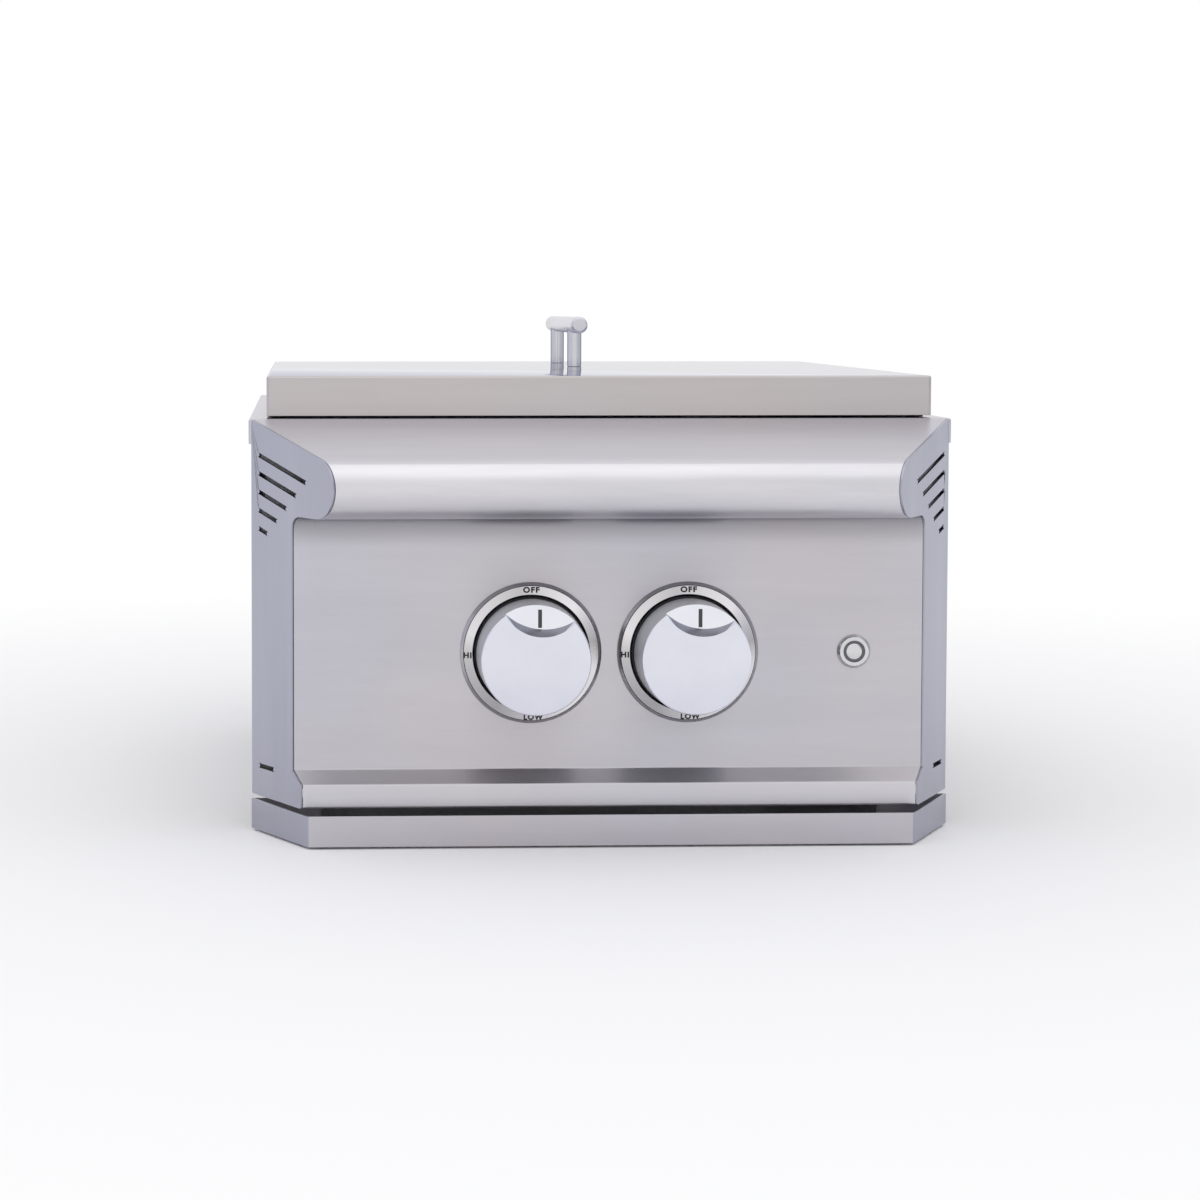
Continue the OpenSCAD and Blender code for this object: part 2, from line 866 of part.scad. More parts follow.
module support_screws() {
    color(BRIGHT)
        for (side = [-1, 1], dy = [-support_y, support_y])
            translate([side * firebox_w / 2, mid_y + dy, ring_foot - support_flange / 2])
                rotate([0, side * 90, 0])
                    screw(firebox_t + support_t + screw_end);
}

module igniter_electrode() {
    color("white")
        translate([0, electrode_y, ring_foot - electrode_len / 2])
            union() {
                cylinder(r = electrode_r, h = electrode_len);
                translate([0, 0, electrode_len - cut])
                    cylinder(r = electrode_tip_r, h = electrode_tip + cut);
            }
}

module igniter_bracket() {
    wall_y = firebox_front + firebox_t;
    front_len = electrode_y + electrode_bracket_w / 2 - wall_y;
    color(STEEL)
        difference() {
            union() {
                translate([-electrode_bracket_w / 2, wall_y, electrode_bracket_z])
                    cube([electrode_bracket_w, front_len, support_t]);
                translate([-electrode_bracket_w / 2, wall_y, electrode_bracket_z - support_flange])
                    cube([electrode_bracket_w, support_t, support_flange + support_t]);
            }
            translate([0, electrode_y, electrode_bracket_z - cut])
                cylinder(r = electrode_r, h = support_t + 2 * cut);
        }
}

// The bent supply line from the manifold to the gas inlet, as a solid of radius r
module supply_line(r, drop) {
    facing_front(inlet_x, inlet_y, manifold_z)
        cylinder(r = r, h = inlet_y - manifold_y);
    translate([inlet_x, inlet_y, manifold_z])
        sphere(r = r);
    translate([inlet_x, inlet_y, manifold_z - drop])
        cylinder(r = r, h = drop);
}

module gas_manifold() {
    length = manifold_left + manifold_right;
    inner = manifold_r - manifold_wall;
    color(DARK)
        difference() {
            union() {
                translate([-manifold_left, manifold_y, manifold_z])
                    rotate([0, 90, 0])
                        cylinder(r = manifold_r, h = length);
                for (x = knob_xs)
                    translate([x, manifold_y, manifold_z])
                        cylinder(r = boss_r, h = boss_top - manifold_z);
                supply_line(supply_r, inlet_drop);
            }
            translate([manifold_wall - manifold_left, manifold_y, manifold_z])
                rotate([0, 90, 0])
                    cylinder(r = inner, h = length - 2 * manifold_wall);
            for (x = knob_xs)
                translate([x, manifold_y, manifold_z])
                    cylinder(r = inner / 2, h = boss_top - manifold_z + cut);
            supply_line(supply_r - supply_wall, inlet_drop + cut);
        }
}

module gas_inlet() {
    color(BRASS)
        translate([inlet_x, inlet_y, manifold_z - inlet_drop])
            difference() {
                union() {
                    translate([0, 0, -inlet_hex_h])
                        cylinder(r = inlet_hex_r, h = inlet_hex_h, $fn = 6);
                    translate([0, 0, -inlet_hex_h - inlet_thread])
                        cylinder(r = inlet_r, h = inlet_hex_h + inlet_thread - cut);
                }
                translate([0, 0, -inlet_hex_h - inlet_thread - cut])
                    cylinder(r = inlet_bore, h = inlet_hex_h + inlet_thread + 2 * cut);
            }
}

// Depths inside a valve are measured back from the inner face of the panel
module in_valve(x, depth) {
    facing_front(x, panel_in_y + depth, knob_z)
        children();
}

module valve_body(x) {
    bore_end = valve_len - valve_back_wall;
    color(BRASS)
        difference() {
            union() {
                in_valve(x, valve_len)
                    cylinder(r = valve_r, h = valve_len);
                in_valve(x, valve_flange_t)
                    translate([0, 0, valve_flange_t / 2])
                        cube([valve_flange_w, valve_flange_h, valve_flange_t], center = true);
                translate([x, manifold_y, boss_top])
                    cylinder(r = valve_neck_r, h = knob_z - boss_top);
            }
            in_valve(x, bore_end)
                cylinder(r = plug_r + running_gap, h = bore_end - bonnet_t);
            in_valve(x, valve_len)
                cylinder(r = stem_r + running_gap, h = valve_len + cut);
            for (side = [-1, 1])
                in_valve(x + side * valve_screw_gap / 2, valve_flange_t + cut)
                    cylinder(r = screw_r + screw_gap, h = valve_flange_t + 2 * cut);
        }
}

module orifice(x) {
    color(BRASS)
        in_valve(x, valve_len + spud_len + spud_tip_len)
            difference() {
                union() {
                    translate([0, 0, spud_tip_len])
                        cylinder(r = spud_r, h = spud_len, $fn = 6);
                    cylinder(r = spud_tip_r, h = spud_tip_len + cut);
                }
                translate([0, 0, -cut])
                    cylinder(r = spud_bore, h = spud_len + spud_tip_len + 2 * cut);
            }
}

module valve_plug(x) {
    color(BRASS)
        in_valve(x, plug_back)
            difference() {
                cylinder(r = plug_r, h = plug_len);
                translate([0, 0, plug_len - plug_bore])
                    cylinder(r = stem_r + running_gap, h = plug_bore + cut);
            }
}

// The spring is drawn at its pushed-in length, seated on the turning plug
module stem_spring(x) {
    color(BRIGHT)
        in_valve(x, plug_front)
            tube(spring_r, stem_r + rest_gap, spring_len);
}

module valve_stem(x) {
    tip = plug_front + plug_bore - push_travel - stem_end_gap;
    stem_end = sheet + knob_back + knob_hollow + stem_seat;
    color(BRIGHT)
        union() {
            in_valve(x, tip)
                cylinder(r = stem_r, h = tip + stem_end);
            in_valve(x, collar_front + collar_t)
                cylinder(r = collar_r, h = collar_t);
        }
}

module bezel(x) {
    color(BRIGHT)
        facing_front(x, panel_y, knob_z)
            difference() {
                rotate_extrude()
                    polygon([
                        [stem_hole_r, 0],
                        [bezel_r, 0],
                        [bezel_r, bezel_side_h],
                        [bezel_r - bezel_step, bezel_slope_h],
                        [bezel_bore + bezel_crest, bezel_h],
                        [bezel_bore, bezel_h - bezel_lip],
                        [bezel_bore, bezel_plate],
                        [stem_hole_r, bezel_plate]
                    ]);
                for (side = [-1, 1])
                    translate([side * valve_screw_gap / 2, 0, -cut])
                        cylinder(r = screw_r + screw_gap, h = bezel_plate + 2 * cut);
            }
}

module bezel_screws() {
    color(BRIGHT)
        for (x = knob_xs, side = [-1, 1])
            facing_front(x + side * valve_screw_gap / 2, panel_y - bezel_plate, knob_z)
                screw(bezel_plate + sheet + valve_flange_t);
}

// Cutter for the scoop: a cone whose wall leans out to the face
module scoop() {
    translate([0, scoop_y, knob_reach - scoop_depth])
        cylinder(r1 = scoop_r - scoop_lean, r2 = scoop_r, h = scoop_depth);
    translate([0, scoop_y, knob_reach])
        cylinder(r = scoop_r, h = 2 * cut);
}

module knob(x) {
    color(BRIGHT)
        facing_front(x, panel_y, knob_z)
            difference() {
                rotate_extrude()
                    polygon([
                        [0, knob_back],
                        [knob_r + knob_flare - knob_edge, knob_back],
                        [knob_r + knob_flare, knob_back + knob_edge],
                        [knob_r, knob_reach - knob_edge],
                        [knob_r - knob_edge, knob_reach],
                        [0, knob_reach]
                    ]);
                rotate([0, 0, -knob_turn])
                    scoop();
                translate([0, 0, knob_back - cut])
                    difference() {
                        cylinder(r = knob_r - knob_wall, h = knob_hollow + cut);
                        cylinder(r = stem_r + hub_wall, h = knob_hollow + cut);
                    }
                translate([0, 0, knob_back - cut])
                    cylinder(r = stem_r, h = knob_hollow + stem_seat + cut);
            }
}

module knob_pointer(x) {
    color(DARK)
        facing_front(x, panel_y, knob_z)
            rotate([0, 0, -knob_turn])
                translate([0, pointer_start + pointer_len / 2, knob_reach - scoop_depth])
                    rotate([0, 0, knob_turn])
                        plate(pointer_w, pointer_len, pointer_t);
}

// Parts of the push button, with depths measured out from the panel face
module at_button(height) {
    facing_front(button_x, panel_y - height, knob_z)
        children();
}

module button_housing() {
    color(BRIGHT)
        difference() {
            union() {
                at_button(0)
                    rotate_extrude()
                        polygon([
                            [0, 0],
                            [button_flange_r, 0],
                            [button_flange_r, flange_side_h],
                            [button_flange_r - flange_step, button_flange_h],
                            [0, button_flange_h]
                        ]);
                at_button(-barrel_len)
                    cylinder(r = barrel_r, h = barrel_len + button_flange_h / 2);
            }
            at_button(button_flange_h - button_well)
                cylinder(r = light_ring_r, h = button_well + cut);
            at_button(button_flange_h - 2 * button_well)
                cylinder(r = button_r + running_gap, h = 2 * button_well);
        }
}

module button_light_ring() {
    color(DARK)
        at_button(button_flange_h - button_well)
            tube(light_ring_r, button_r + running_gap, button_well - light_ring_drop);
}

module button_cap() {
    color(BRIGHT)
        at_button(button_flange_h - button_depth)
            cylinder(r = button_r, h = button_depth);
}

module button_nut() {
    color(STEEL)
        at_button(-sheet - nut_t)
            difference() {
                cylinder(r = barrel_r + nut_rim, h = nut_t, $fn = 6);
                translate([0, 0, -cut])
                    cylinder(r = barrel_r + running_gap, h = nut_t + 2 * cut);
            }
}

// The lid: an inverted pan with a hem turned in at its lower edge
module lid_pan() {
    in_w = lid_w - 2 * lid_t;
    in_d = lid_d - 2 * lid_t;
    color(STEEL)
        translate([0, mid_y, lid_foot])
            difference() {
                plate(lid_w, lid_d, lid_h);
                translate([0, 0, lid_t])
                    plate(in_w, in_d, lid_h - 2 * lid_t);
                translate([0, 0, -cut])
                    plate(in_w - 2 * lid_hem, in_d - 2 * lid_hem, lid_h / 2);
                for (dy = [-post_gap / 2, post_gap / 2])
                    translate([0, dy, lid_h - 2 * lid_t])
                        cylinder(r = screw_r + screw_gap, h = 3 * lid_t);
            }
}

module lid_feet() {
    dx = lid_w / 2 - lid_t - lid_hem / 2;
    dy = lid_d / 2 - lid_t - foot_len;
    color(DARK)
        for (side = [-1, 1], row = [-1, 1])
            translate([side * dx, mid_y + row * dy, lid_foot - foot_h])
                plate(foot_w, foot_len, foot_h);
}

module handle_bar() {
    color(STEEL)
        translate([0, mid_y + handle_len / 2, lid_top + handle_rise])
            rotate([90, 0, 0])
                rotate_extrude()
                    polygon([
                        [0, 0],
                        [handle_r - handle_edge, 0],
                        [handle_r, handle_edge],
                        [handle_r, handle_len - handle_edge],
                        [handle_r - handle_edge, handle_len],
                        [0, handle_len]
                    ]);
}

module handle_posts() {
    color(STEEL)
        difference() {
            for (dy = [-post_gap / 2, post_gap / 2])
                translate([0, mid_y + dy, lid_top])
                    cylinder(r = post_r, h = handle_rise);
            translate([0, mid_y, lid_top + handle_rise])
                rotate([90, 0, 0])
                    cylinder(r = handle_r, h = handle_len, center = true);
            for (dy = [-post_gap / 2, post_gap / 2])
                translate([0, mid_y + dy, lid_top - cut])
                    cylinder(r = screw_r + screw_gap, h = post_bore + cut);
        }
}

module handle_screws() {
    color(BRIGHT)
        for (dy = [-post_gap / 2, post_gap / 2])
            translate([0, mid_y + dy, lid_top - lid_t])
                rotate([180, 0, 0])
                    screw(post_bore);
}

// Side of the tray's front part at depth y, moved in from its outer face by d
function tray_edge(y, d) = tray_w / 2 + y * tan(cap_angle) - d / cos(cap_angle);

// Plan of the drip tray, moved in from its outer faces by d
module tray_plan(d) {
    front = d - tray_reach;
    inner = tray_inner_w / 2 - d;
    lap = 2 * tray_t;
    union() {
        polygon([
            [-tray_edge(-d, d), -d],
            [-tray_edge(front, d), front],
            [tray_edge(front, d), front],
            [tray_edge(-d, d), -d]
        ]);
        translate([-inner, -lap])
            square([2 * inner, tray_run - d + lap]);
    }
}

module drip_tray() {
    color(STEEL)
        translate([0, seam_y, tray_foot])
            difference() {
                linear_extrude(tray_h)
                    tray_plan(0);
                translate([0, 0, tray_t])
                    linear_extrude(tray_h)
                        tray_plan(tray_t);
            }
}

// A rail: a web beside the tray, a lip under it and a flange under the firebox
module tray_rail(side) {
    color(STEEL)
        translate([0, mid_y, 0])
            union() {
                translate([side * (rail_x + rail_t / 2), 0, 0])
                    plate(rail_t, rail_len, firebox_foot);
                translate([side * (rail_x + rail_t - rail_lip / 2), 0, 0])
                    plate(rail_lip, rail_len, rail_t);
                difference() {
                    translate([side * (rail_x + rail_flange / 2), 0, firebox_foot - rail_t])
                        plate(rail_flange, rail_len, rail_t);
                    translate([0, -mid_y, -rail_t])
                        rail_screw_places()
                            translate([0, 0, -cut])
                                cylinder(r = screw_r + screw_gap, h = rail_t + 2 * cut);
                }
            }
}

module rail_screws() {
    color(BRIGHT)
        rail_screw_places()
            translate([0, 0, firebox_t])
                screw(firebox_t + rail_t + screw_end);
}

deck_frame();
top_hood();
control_panel();
end_cap(-1);  // end_cap_left
end_cap(1);  // end_cap_right
heat_shield();
firebox();
grate_ledges();
cooking_grate();
wok_ring();
outer_burner_ring();
inner_burner_ring();
outer_venturi();
inner_venturi();
air_shutter(knob_xs[0]);  // air_shutter_left
air_shutter(knob_xs[1]);  // air_shutter_right
burner_supports();
support_screws();
igniter_electrode();
igniter_bracket();
gas_manifold();
gas_inlet();
valve_body(knob_xs[0]);  // valve_body_left
valve_body(knob_xs[1]);  // valve_body_right
orifice(knob_xs[0]);  // orifice_left
orifice(knob_xs[1]);  // orifice_right
valve_plug(knob_xs[0]);  // valve_plug_left
valve_plug(knob_xs[1]);  // valve_plug_right
stem_spring(knob_xs[0]);  // stem_spring_left
stem_spring(knob_xs[1]);  // stem_spring_right
valve_stem(knob_xs[0]);  // valve_stem_left
valve_stem(knob_xs[1]);  // valve_stem_right
bezel(knob_xs[0]);  // bezel_left
bezel(knob_xs[1]);  // bezel_right
bezel_screws();
knob(knob_xs[0]);  // knob_left
knob(knob_xs[1]);  // knob_right
knob_pointer(knob_xs[0]);  // knob_pointer_left
knob_pointer(knob_xs[1]);  // knob_pointer_right
button_housing();
button_light_ring();
button_cap();
button_nut();
lid_pan();
lid_feet();
handle_bar();
handle_posts();
handle_screws();
drip_tray();
tray_rail(-1);  // tray_rail_left
tray_rail(1);  // tray_rail_right
rail_screws();
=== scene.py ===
# %% [markdown]
# Built-in power burner
#
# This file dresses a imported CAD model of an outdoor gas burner: a lift-off lid, a sloping control
# housing with a bullnose front, two polished knobs and a drip tray. The CAD model settles where each
# piece is and how big it is. Here the visible sheets and turned pieces are modelled again with their
# folds, rounded edges and lettering, and every surface gets its finish.

# %% Load the frame
import json
import math

import bmesh
import bpy
from mathutils import Matrix, Vector


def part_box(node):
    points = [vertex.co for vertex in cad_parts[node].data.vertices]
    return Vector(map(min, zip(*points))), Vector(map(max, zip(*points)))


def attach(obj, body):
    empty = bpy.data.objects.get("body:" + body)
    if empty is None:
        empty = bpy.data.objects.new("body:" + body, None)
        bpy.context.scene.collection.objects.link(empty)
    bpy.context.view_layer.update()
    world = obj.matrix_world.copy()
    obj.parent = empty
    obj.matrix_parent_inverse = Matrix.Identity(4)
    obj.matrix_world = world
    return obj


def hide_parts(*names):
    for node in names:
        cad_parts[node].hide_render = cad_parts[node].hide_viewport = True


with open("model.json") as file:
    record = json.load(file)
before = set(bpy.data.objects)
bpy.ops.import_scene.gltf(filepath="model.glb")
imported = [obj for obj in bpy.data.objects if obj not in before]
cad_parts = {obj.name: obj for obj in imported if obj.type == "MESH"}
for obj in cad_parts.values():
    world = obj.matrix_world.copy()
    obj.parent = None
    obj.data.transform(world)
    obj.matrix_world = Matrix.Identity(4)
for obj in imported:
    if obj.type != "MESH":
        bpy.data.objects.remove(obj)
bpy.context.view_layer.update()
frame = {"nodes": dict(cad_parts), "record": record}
MM = 0.001

# %% [markdown]
# The camera
#
# A product photograph is often cropped from a larger frame, so the vanishing point doesn't lie in the
# middle of the picture. A shifted lens does the same here: the camera stays nearly level, so upright
# edges stay upright, and the shift moves the picture. The place and turn were worked out once from the
# edges of the housing and the lid.

# %% Place the camera
CAMERA_AT = (-0.2166, -2.0898, 0.3810)
CAMERA_DOWN = 0.0501
CAMERA_RIGHT = 0.0341
SENSOR = 36
LENS = 77.79
SHIFT_X = 0.1729
SHIFT_Y = -0.1355

camera_data = bpy.data.cameras.new("camera")
camera_data.sensor_width = SENSOR
camera_data.lens = LENS
camera_data.shift_x = SHIFT_X
camera_data.shift_y = SHIFT_Y
camera = bpy.data.objects.new("camera", camera_data)
camera.location = CAMERA_AT
camera.rotation_euler = (math.pi / 2 - CAMERA_DOWN, 0, -CAMERA_RIGHT)
bpy.context.collection.objects.link(camera)
bpy.context.scene.camera = camera
bpy.context.scene.view_settings.view_transform = "Standard"
print("camera at", CAMERA_AT, "with a lens of", LENS, "mm")

# %% [markdown]
# Small helpers for nodes
#
# Every finish below is a short chain of shader nodes. A few helpers keep the chains readable: they add
# a node, fill its properties and sockets by name, join an output to an input and put the stops on a
# colour ramp. Where two sockets of a node share a name, a number tells them apart.

# %% Node helpers
def fill(node, **values):
    """Sets properties and sockets by name. A space in the name of a socket is written as _."""
    for name, value in values.items():
        if hasattr(node, name):
            setattr(node, name, value)
        else:
            node.inputs[name.replace("_", " ")].default_value = value


def add_node(tree, kind, **values):
    node = tree.nodes.new(kind)
    fill(node, **values)
    return node


def join(tree, out_node, out_name, in_node, in_name):
    tree.links.new(out_node.outputs[out_name], in_node.inputs[in_name])


def fill_ramp(node, stops):
    """Gives a colour ramp its stops, each with a position and a colour."""
    elements = node.color_ramp.elements
    while len(elements) < len(stops):
        elements.new(0.5)
    for element, (position, colour) in zip(elements, stops):
        element.position = position
        element.color = colour

# %% [markdown]
# The room
#
# Polished and brushed steel show little of their own colour: they show the room. So the room is the
# first thing to design. It is a white tent, a little dimmer and bluer to the left and more so to the
# right, which gives the end caps part of their blue-grey, and painted shade in their finish gives the
# rest. The camera itself sees plain white.

# %% The room
ROOM_WHITE = (1.0, 1.0, 1.0, 1)
ROOM_LEFT = (0.80, 0.82, 0.93, 1)
ROOM_RIGHT = (0.66, 0.68, 0.77, 1)
ROOM_STOPS = ((0.10, ROOM_LEFT), (0.34, ROOM_WHITE), (0.66, ROOM_WHITE), (0.88, ROOM_RIGHT))


def studio_world():
    world = bpy.data.worlds.new("studio")
    bpy.context.scene.world = world
    world.use_nodes = True
    tree = world.node_tree
    tree.nodes.clear()
    place = add_node(tree, "ShaderNodeTexCoord")
    parts = add_node(tree, "ShaderNodeSeparateXYZ")
    join(tree, place, "Generated", parts, "Vector")
    across = add_node(tree, "ShaderNodeMapRange", From_Min=-1.0)
    join(tree, parts, "X", across, "Value")
    tint = add_node(tree, "ShaderNodeValToRGB")
    fill_ramp(tint, ROOM_STOPS)
    join(tree, across, "Result", tint, "Fac")
    ray = add_node(tree, "ShaderNodeLightPath")
    room = add_node(tree, "ShaderNodeBackground", Strength=1.0)
    join(tree, tint, "Color", room, "Color")
    white = add_node(tree, "ShaderNodeBackground", Color=ROOM_WHITE, Strength=1.0)
    mix = add_node(tree, "ShaderNodeMixShader")
    join(tree, ray, "Is Camera Ray", mix, "Fac")
    join(tree, room, 0, mix, 1)
    join(tree, white, 0, mix, 2)
    end = add_node(tree, "ShaderNodeOutputWorld")
    join(tree, mix, 0, end, "Surface")
    print("room:", len(ROOM_STOPS), "stops from left to right")


studio_world()

# %% [markdown]
# The floor and the lamp
#
# Near the burner the floor is matt paper, so it keeps the soft shadow. Further out it fades to plain
# white for the camera and for reflections, which hides the line where the floor ends. One wide softbox
# hangs overhead. It is far wider than the burner, because on brushed steel the ends of a narrow lamp
# would show as patches in the middle of the bullnose.

# %% Floor and lamp
FLOOR_HALF = 12.0
FLOOR_PAPER = (0.90, 0.895, 0.89, 1)
SHADOW_REACH = 0.45
FADE_REACH = 1.5


def to_object(name, bm):
    """Turns a finished bmesh into an object of the scene."""
    mesh = bpy.data.meshes.new(name)
    bm.to_mesh(mesh)
    bm.free()
    thing = bpy.data.objects.new(name, mesh)
    bpy.context.collection.objects.link(thing)
    return thing


def paper_material():
    material = bpy.data.materials.new("floor_paper")
    material.use_nodes = True
    tree = material.node_tree
    tree.nodes.clear()
    paper = add_node(tree, "ShaderNodeBsdfDiffuse", Color=FLOOR_PAPER)
    glow = add_node(tree, "ShaderNodeEmission", Color=ROOM_WHITE, Strength=1.0)
    place = add_node(tree, "ShaderNodeTexCoord")
    distance = add_node(tree, "ShaderNodeVectorMath", operation="LENGTH")
    join(tree, place, "Object", distance, 0)
    fade = add_node(tree, "ShaderNodeMapRange", interpolation_type="SMOOTHSTEP",
                    From_Min=SHADOW_REACH, From_Max=FADE_REACH)
    join(tree, distance, "Value", fade, "Value")
    ray = add_node(tree, "ShaderNodeLightPath")
    seen = add_node(tree, "ShaderNodeMath", operation="MAXIMUM")
    join(tree, ray, "Is Camera Ray", seen, 0)
    join(tree, ray, "Is Glossy Ray", seen, 1)
    share = add_node(tree, "ShaderNodeMath", operation="MULTIPLY")
    join(tree, seen, 0, share, 0)
    join(tree, fade, "Result", share, 1)
    mix = add_node(tree, "ShaderNodeMixShader")
    join(tree, share, 0, mix, "Fac")
    join(tree, paper, 0, mix, 1)
    join(tree, glow, 0, mix, 2)
    end = add_node(tree, "ShaderNodeOutputMaterial")
    join(tree, mix, 0, end, "Surface")
    return material


def studio_floor():
    bm = bmesh.new()
    bmesh.ops.create_grid(bm, x_segments=1, y_segments=1, size=FLOOR_HALF)
    floor = to_object("floor", bm)
    floor.data.materials.append(paper_material())


def softbox(name, place, aim, width, height, power):
    data = bpy.data.lights.new(name, "AREA")
    data.shape = "RECTANGLE"
    data.size = width
    data.size_y = height
    data.energy = power
    lamp = bpy.data.objects.new(name, data)
    lamp.location = place
    lamp.rotation_euler = (Vector(aim) - Vector(place)).to_track_quat("-Z", "Y").to_euler()
    bpy.context.collection.objects.link(lamp)
    print("softbox", name, width, "m by", height, "m")


studio_floor()
softbox("overhead", place=(0.0, -0.9, 2.3), aim=(0, -0.6, 0.2), width=7.0, height=2.4, power=18)

# %% [markdown]
# Brushed stainless steel
#
# Brushing leaves fine straight scratches along the sheet. Up close they are a bump and a change of
# roughness from one hair-thin line to the next, and from a step away they show as faint long streaks.
# A noise texture squeezed across the grain and stretched along it gives both. A second, broad noise
# adds the slight warm and cool clouds that rolled sheet has. The grain direction is a mapping scale,
# so one function serves sheets that were brushed along the width or up the height. The fine scratches
# also smear every reflection across the grain, which the anisotropic setting does: its tangent runs
# along the grain and a quarter turn points the smear across it.

# %% The brushed finish
GRAIN_ALONG = 9.0
GRAIN_ACROSS = 1100.0
GRAINS = {
    "x": (GRAIN_ALONG, GRAIN_ACROSS, GRAIN_ACROSS),
    "z": (GRAIN_ACROSS, GRAIN_ACROSS, GRAIN_ALONG),
}
STREAK_SHARE = 0.9
CLOUD_SCALE = 7.0
ROUGH_SHARE = 0.23
QUARTER_TURN = 0.25
FULL_RIM = (1.0, 1.0, 1.0)
FINISH = {}


def new_finish(name):
    """Starts a finish, files it under its name and gives its node tree and its surface node."""
    material = bpy.data.materials.new(name)
    material.use_nodes = True
    FINISH[name] = material
    tree = material.node_tree
    return tree, tree.nodes["Principled BSDF"]


def vary_roughness(tree, texture, surface, smooth, rough):
    """Lets a texture move the roughness between two values."""
    reach = add_node(tree, "ShaderNodeMapRange", To_Min=smooth, To_Max=rough)
    join(tree, texture, "Fac", reach, "Value")
    join(tree, reach, "Result", surface, "Roughness")


def add_relief(tree, texture, surface, strength, depth=0.2 * MM):
    """Lets a texture raise and lower the surface a little."""
    relief = add_node(tree, "ShaderNodeBump", Strength=strength, Distance=depth)
    join(tree, texture, "Fac", relief, "Height")
    join(tree, relief, "Normal", surface, "Normal")


def painted_shade_by_height(tree, place, unshaded_height, shaded_height, share):
    """Painted shade: gives 1 at the unshaded height and falls softly to a share at the shaded height."""
    parts = add_node(tree, "ShaderNodeSeparateXYZ")
    join(tree, place, "Object", parts, "Vector")
    fall = add_node(tree, "ShaderNodeMapRange", interpolation_type="SMOOTHSTEP",
                    From_Min=unshaded_height, From_Max=shaded_height, To_Min=1.0, To_Max=share)
    join(tree, parts, "Z", fall, "Value")
    return fall


def brushed(name, colour, roughness, grain="x", streak=0.04, bump=0.05, cloud=0.03, smear=0.6,
            rim=FULL_RIM, fade=None):
    """Brushed steel. rim is how much of the light it still returns where it is seen along its surface.

    fade is painted shade: a height free of it, a height where it is full, and how bright the sheet is
    there.
    """
    red, green, blue = colour
    tree, surface = new_finish(name)
    fill(surface, Metallic=1.0, Specular_Tint=(*rim, 1), Anisotropic=smear,
         Anisotropic_Rotation=QUARTER_TURN)
    along = add_node(tree, "ShaderNodeCombineXYZ")
    along.inputs[grain.upper()].default_value = 1.0
    join(tree, along, "Vector", surface, "Tangent")
    place = add_node(tree, "ShaderNodeTexCoord")
    fine = add_node(tree, "ShaderNodeMapping", Scale=GRAINS[grain])
    join(tree, place, "Object", fine, "Vector")
    lines = add_node(tree, "ShaderNodeTexNoise", Scale=1.0, Detail=4.0, Roughness=0.65)
    join(tree, fine, "Vector", lines, "Vector")
    vary_roughness(tree, lines, surface, roughness * (1 - ROUGH_SHARE), roughness * (1 + ROUGH_SHARE))
    add_relief(tree, lines, surface, bump)
    broad = add_node(tree, "ShaderNodeMapping",
                     Scale=tuple(value ** 0.5 * STREAK_SHARE for value in GRAINS[grain]))
    join(tree, place, "Object", broad, "Vector")
    streaks = add_node(tree, "ShaderNodeTexNoise", Scale=1.0, Detail=5.0, Roughness=0.7)
    join(tree, broad, "Vector", streaks, "Vector")
    shade = add_node(tree, "ShaderNodeMapRange", From_Min=0.3, From_Max=0.7,
                     To_Min=1 - streak, To_Max=1 + streak)
    join(tree, streaks, "Fac", shade, "Value")
    clouds = add_node(tree, "ShaderNodeTexNoise", Scale=CLOUD_SCALE, Detail=2.0)
    join(tree, place, "Object", clouds, "Vector")
    warm = add_node(tree, "ShaderNodeMix", data_type="RGBA",
                    A=(red + cloud, green + cloud * 0.5, blue, 1),
                    B=(red - cloud * 0.5, green, blue + cloud * 0.6, 1))
    join(tree, clouds, "Fac", warm, "Factor")
    tone = add_node(tree, "ShaderNodeMath", operation="MULTIPLY")
    tone.inputs[1].default_value = 1.0
    join(tree, shade, "Result", tone, 0)
    # Painted shade: the base colour darkens between two heights.
    if fade:
        join(tree, painted_shade_by_height(tree, place, *fade), "Result", tone, 1)
    tint = add_node(tree, "ShaderNodeVectorMath", operation="SCALE")
    join(tree, warm, "Result", tint, 0)
    join(tree, tone, 0, tint, "Scale")
    join(tree, tint, 0, surface, "Base Color")


brushed("brushed_sheet", (0.59, 0.575, 0.61), 0.34)
# A brighter copy of the sheet for the bullnose: painted light from the bright front of the room.
brushed("nose_painted_light", (0.67, 0.655, 0.685), 0.33, streak=0.09, smear=0.4)
brushed("lid_front", (0.51, 0.475, 0.475), 0.32)
brushed("lid_top", (0.49, 0.50, 0.57), 0.08, streak=0.06, bump=0.01, smear=0.3, rim=(0.762, 0.762, 0.832))
# A dark copy of the sheet for the hidden side of every wall: painted shade inside the housing.
brushed("inner_painted_shade", (0.17, 0.17, 0.18), 0.40)
# A darker copy of the sheet for the fold that looks down: painted shade.
brushed("fold_painted_shade", (0.40, 0.385, 0.41), 0.30)
# A brighter copy of the sheet for the kick strip: painted light.
brushed("kick_painted_light", (0.65, 0.635, 0.67), 0.32, smear=0.85)
# Brushed up the height. Its darker, bluer colour is painted shade for faces that look to the sides.
brushed("cap_sheet", (0.425, 0.43, 0.50), 0.32, grain="z")
brushed("tray_sheet", (0.57, 0.55, 0.585), 0.34)
brushed("firebox_sheet", (0.50, 0.50, 0.51), 0.36, grain="z")
brushed("mill_steel", (0.44, 0.44, 0.45), 0.40)
brushed("grate_steel", (0.36, 0.36, 0.37), 0.36)
print("brushed finishes:", len(FINISH))

